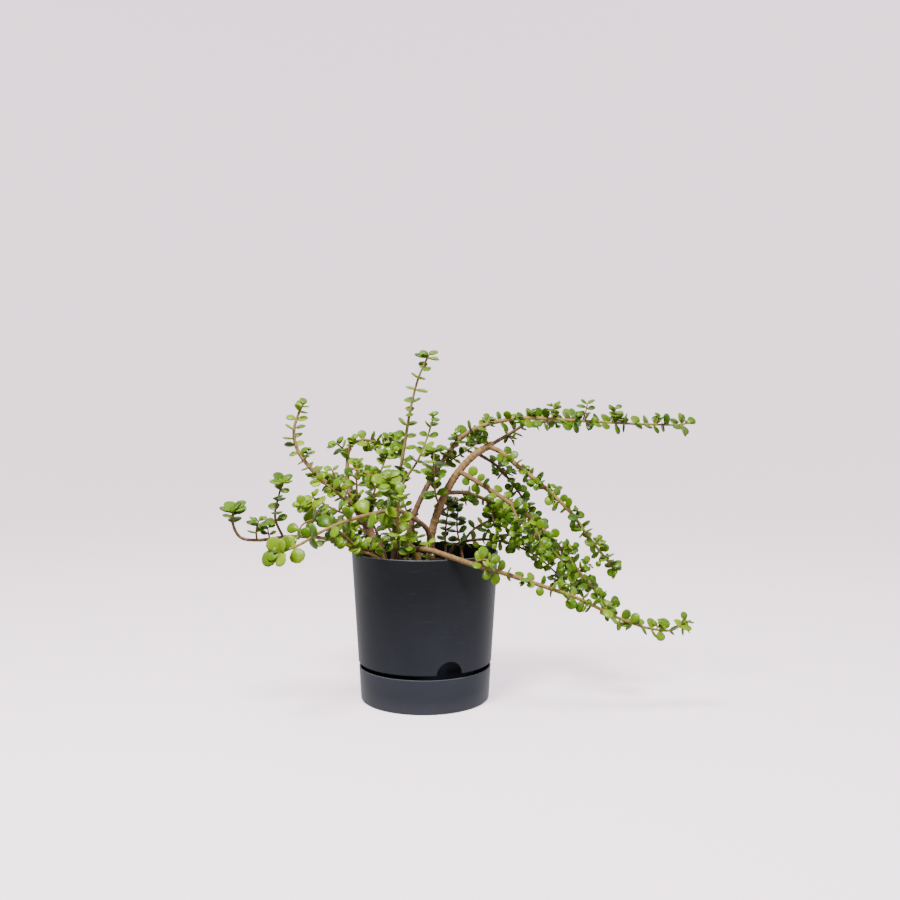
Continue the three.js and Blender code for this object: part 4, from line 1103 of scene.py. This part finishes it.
# %% Plan the leaves of one stem
LIGHT_WAY = Vector((-0.10, -0.74, 0.66)).normalized()
LEAF_LEAN, LEAF_LIFT = 0.25, 0.15
LEAF_SMALLEST, LEAF_SIZE_SPREAD = 0.85, 0.3
PAIR_TURN, FIRST_TURN, TURN_SPREAD = 45, 50, 40
WAY_SPREAD, LAST_LEAF = 3, 0.985
PAIR_ACROSS, SPUR_ACROSS, TIP_ACROSS = 0.7, 0.6, 0.3
TIP_TO_LIGHT = 0.8
SPUR_PAIR_EVERY = 7 * MM
SPARSE = ("sweeping_stem", "front_left_shoot", "upper_left_shoot", "left_hanging_shoot", "front_riser",
          "low_left_side_shoot", "left_riser")


def leaf_turn(heading, turn):
    """A direction away from the stem, leaning towards its tip and a little upwards."""
    level = Vector((-heading.y, heading.x, 0))
    if level.length_squared < 0.02:
        level = Vector((1, 0, 0))
    level.normalize()
    upper = heading.cross(level)
    out = level * math.cos(turn) + upper * math.sin(turn) + heading * LEAF_LEAN + Vector((0, 0, LEAF_LIFT))
    return out.normalized()


def spread(out, share):
    """Turns a leaf's direction away from the light, so that the leaf lies across it."""
    return (out - LIGHT_WAY * (out.dot(LIGHT_WAY) * share)).normalized()


def leaf_frame(point, out, heading, size, facing):
    """The place of a leaf: along out, its upper side between the stem's tip and the light."""
    face = heading * (1 - facing) + LIGHT_WAY * facing
    across = face.cross(out)
    if across.length < 0.05:
        across = heading.cross(out)
    across.normalize()
    face = out.cross(across)
    turned = Matrix((out, across, face)).transposed().to_4x4()
    return Matrix.Translation(point) @ turned @ Matrix.Diagonal((size, size, size, 1))


def plan_leaves(entry):
    """Every leaf of a stem, as (point, heading, out, size, part of the length)."""
    if not entry["leafy"]:
        return []
    course = COURSES[entry["name"]]
    length = course.length / MM
    seed = len(entry["name"]) + entry["route"][0][0]
    start = entry["leafy"] * length
    pairs = math.floor((length - start) / (2 * entry["every"]))
    leaves = []
    for number in range(0, 2 * pairs + 2, 2 if entry["name"] in SPARSE else 1):
        for side in (0, 1):
            pick = number + side if number % 2 == 0 else 200 + 2 * number + side
            way = start + number * entry["every"] + WAY_SPREAD * (chance(seed, pick) - 0.5)
            part = held(way / length, 0, LAST_LEAF)
            point, heading = course.at(part)
            turn = PAIR_TURN * number + 180 * side + FIRST_TURN
            turn += TURN_SPREAD * (chance(seed, pick + 40) - 0.5)
            size = entry["leaf"] * (LEAF_SMALLEST + LEAF_SIZE_SPREAD * chance(seed, pick + 80)) * MM
            out = spread(leaf_turn(heading, math.radians(turn)), PAIR_ACROSS * (number % 2))
            leaves.append((point, heading, out, size, part))
    return leaves


# How far each pair of a crown leans to the tip, and its share of a full leaf
TIP_PAIRS = ((0.25, 0.85), (0.9, 0.5))
ROSETTE_PAIRS = ((0.0, 1.15), (0.1, 1.1), (0.3, 0.85), (0.9, 0.45))


def plan_tip(course, size, dice, pairs=TIP_PAIRS):
    """The crown of young leaves at the end of a stem or spur. It opens towards the light."""
    point, heading = course.at(1)
    opened = (heading + LIGHT_WAY * TIP_TO_LIGHT).normalized()
    leaves = []
    start = dice.uniform(0, 90)
    for number, (lean, share) in enumerate(pairs):
        for side in (0, 180):
            out = leaf_turn(opened, math.radians(start + 360 / len(pairs) * number + side))
            out = spread(out + opened * lean * dice.uniform(0.5, 1.2), TIP_ACROSS)
            own = size * share * dice.uniform(0.9, 1.05) * MM
            leaves.append((point - heading * 0.5 * MM, heading, out, own, 1.0))
    return leaves


def plan_spur_leaves(spur, size, dice):
    """The pairs below the tip of a spur, at least one."""
    leaves = []
    pairs = max(1, round(spur.length / SPUR_PAIR_EVERY))
    start = dice.uniform(0, 180)
    for pair in range(pairs):
        point, heading = spur.at((pair + 0.6) / (pairs + 0.4))
        for side in (0, 180):
            out = leaf_turn(heading, math.radians(start + 90 * pair + side + dice.uniform(-20, 20)))
            own = size * dice.uniform(0.75, 1.05) * MM
            leaves.append((point, heading, spread(out, SPUR_ACROSS), own, 0.7))
    return leaves


print("leaf pairs on the tallest shoot:", len(plan_leaves(BY_NAME["tall_shoot"])) // 2)

# %% Grow the leaves of each rooted plant
ROSETTES = ("sweeping_stem", "left_twig_3", "left_long_stem", "front_centre_shoot")
TONE = {"upper_arch": 0.36, "tall_shoot": 0.48, "main_trunk": 0.42, "left_trunk": 0.56, "front_whip": 0.56,
        "left_long_stem": 0.41, "sweeping_stem": 0.52, "front_riser": 0.58, "low_left_shoot": 0.58,
        "back_whip": 0.3, "tan_whip": 0.44, "back_shoot_1": 0.2, "back_shoot_2": 0.2}
USUAL_TONE, TONE_SPREAD, YOUNG_TONE, YOUNG_FROM = 0.45, 0.12, 0.08, 0.75


def add_leaf(bm, leaf, tone, dice):
    point, heading, out, size, part = leaf
    pattern = dice.choice(PATTERNS).copy()
    layer = pattern.verts.layers.float["tone"]
    own = tone + dice.gauss(0, TONE_SPREAD) + YOUNG_TONE * max(0, part - YOUNG_FROM) / (1 - YOUNG_FROM)
    for vert in pattern.verts:
        vert[layer] = held(own, 0.02, 0.98)
    frame = leaf_frame(point, out, heading, size, dice.uniform(0.3, 0.95))
    bmesh.ops.transform(pattern, matrix=frame, verts=pattern.verts)
    join(bm, pattern)


leaf_total = 0
for root, members in FAMILIES.items():
    crown = bmesh.new()
    for entry in members:
        dice = random.Random(entry["name"] + " leaves")
        tone = look_up(TONE, entry["name"], USUAL_TONE)
        leaves = plan_leaves(entry)
        if entry["leafy"]:
            pairs = ROSETTE_PAIRS if entry["name"] in ROSETTES else TIP_PAIRS
            leaves += plan_tip(COURSES[entry["name"]], entry["leaf"], dice, pairs)
        for spur, size in SPUR_COURSES[entry["name"]]:
            leaves += plan_spur_leaves(spur, size, dice) + plan_tip(spur, size * 0.9, dice)
        for leaf in leaves:
            add_leaf(crown, leaf, tone, dice)
        leaf_total += len(leaves)
    if not crown.faces:
        crown.free()
        continue
    piece = as_object(crown, root + "_leaves")
    piece.data.materials.append(leaf_finish)
    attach(piece, "root")
    print(piece.name, "faces:", len(piece.data.polygons))
for pattern in PATTERNS:
    pattern.free()
print("leaves:", leaf_total)
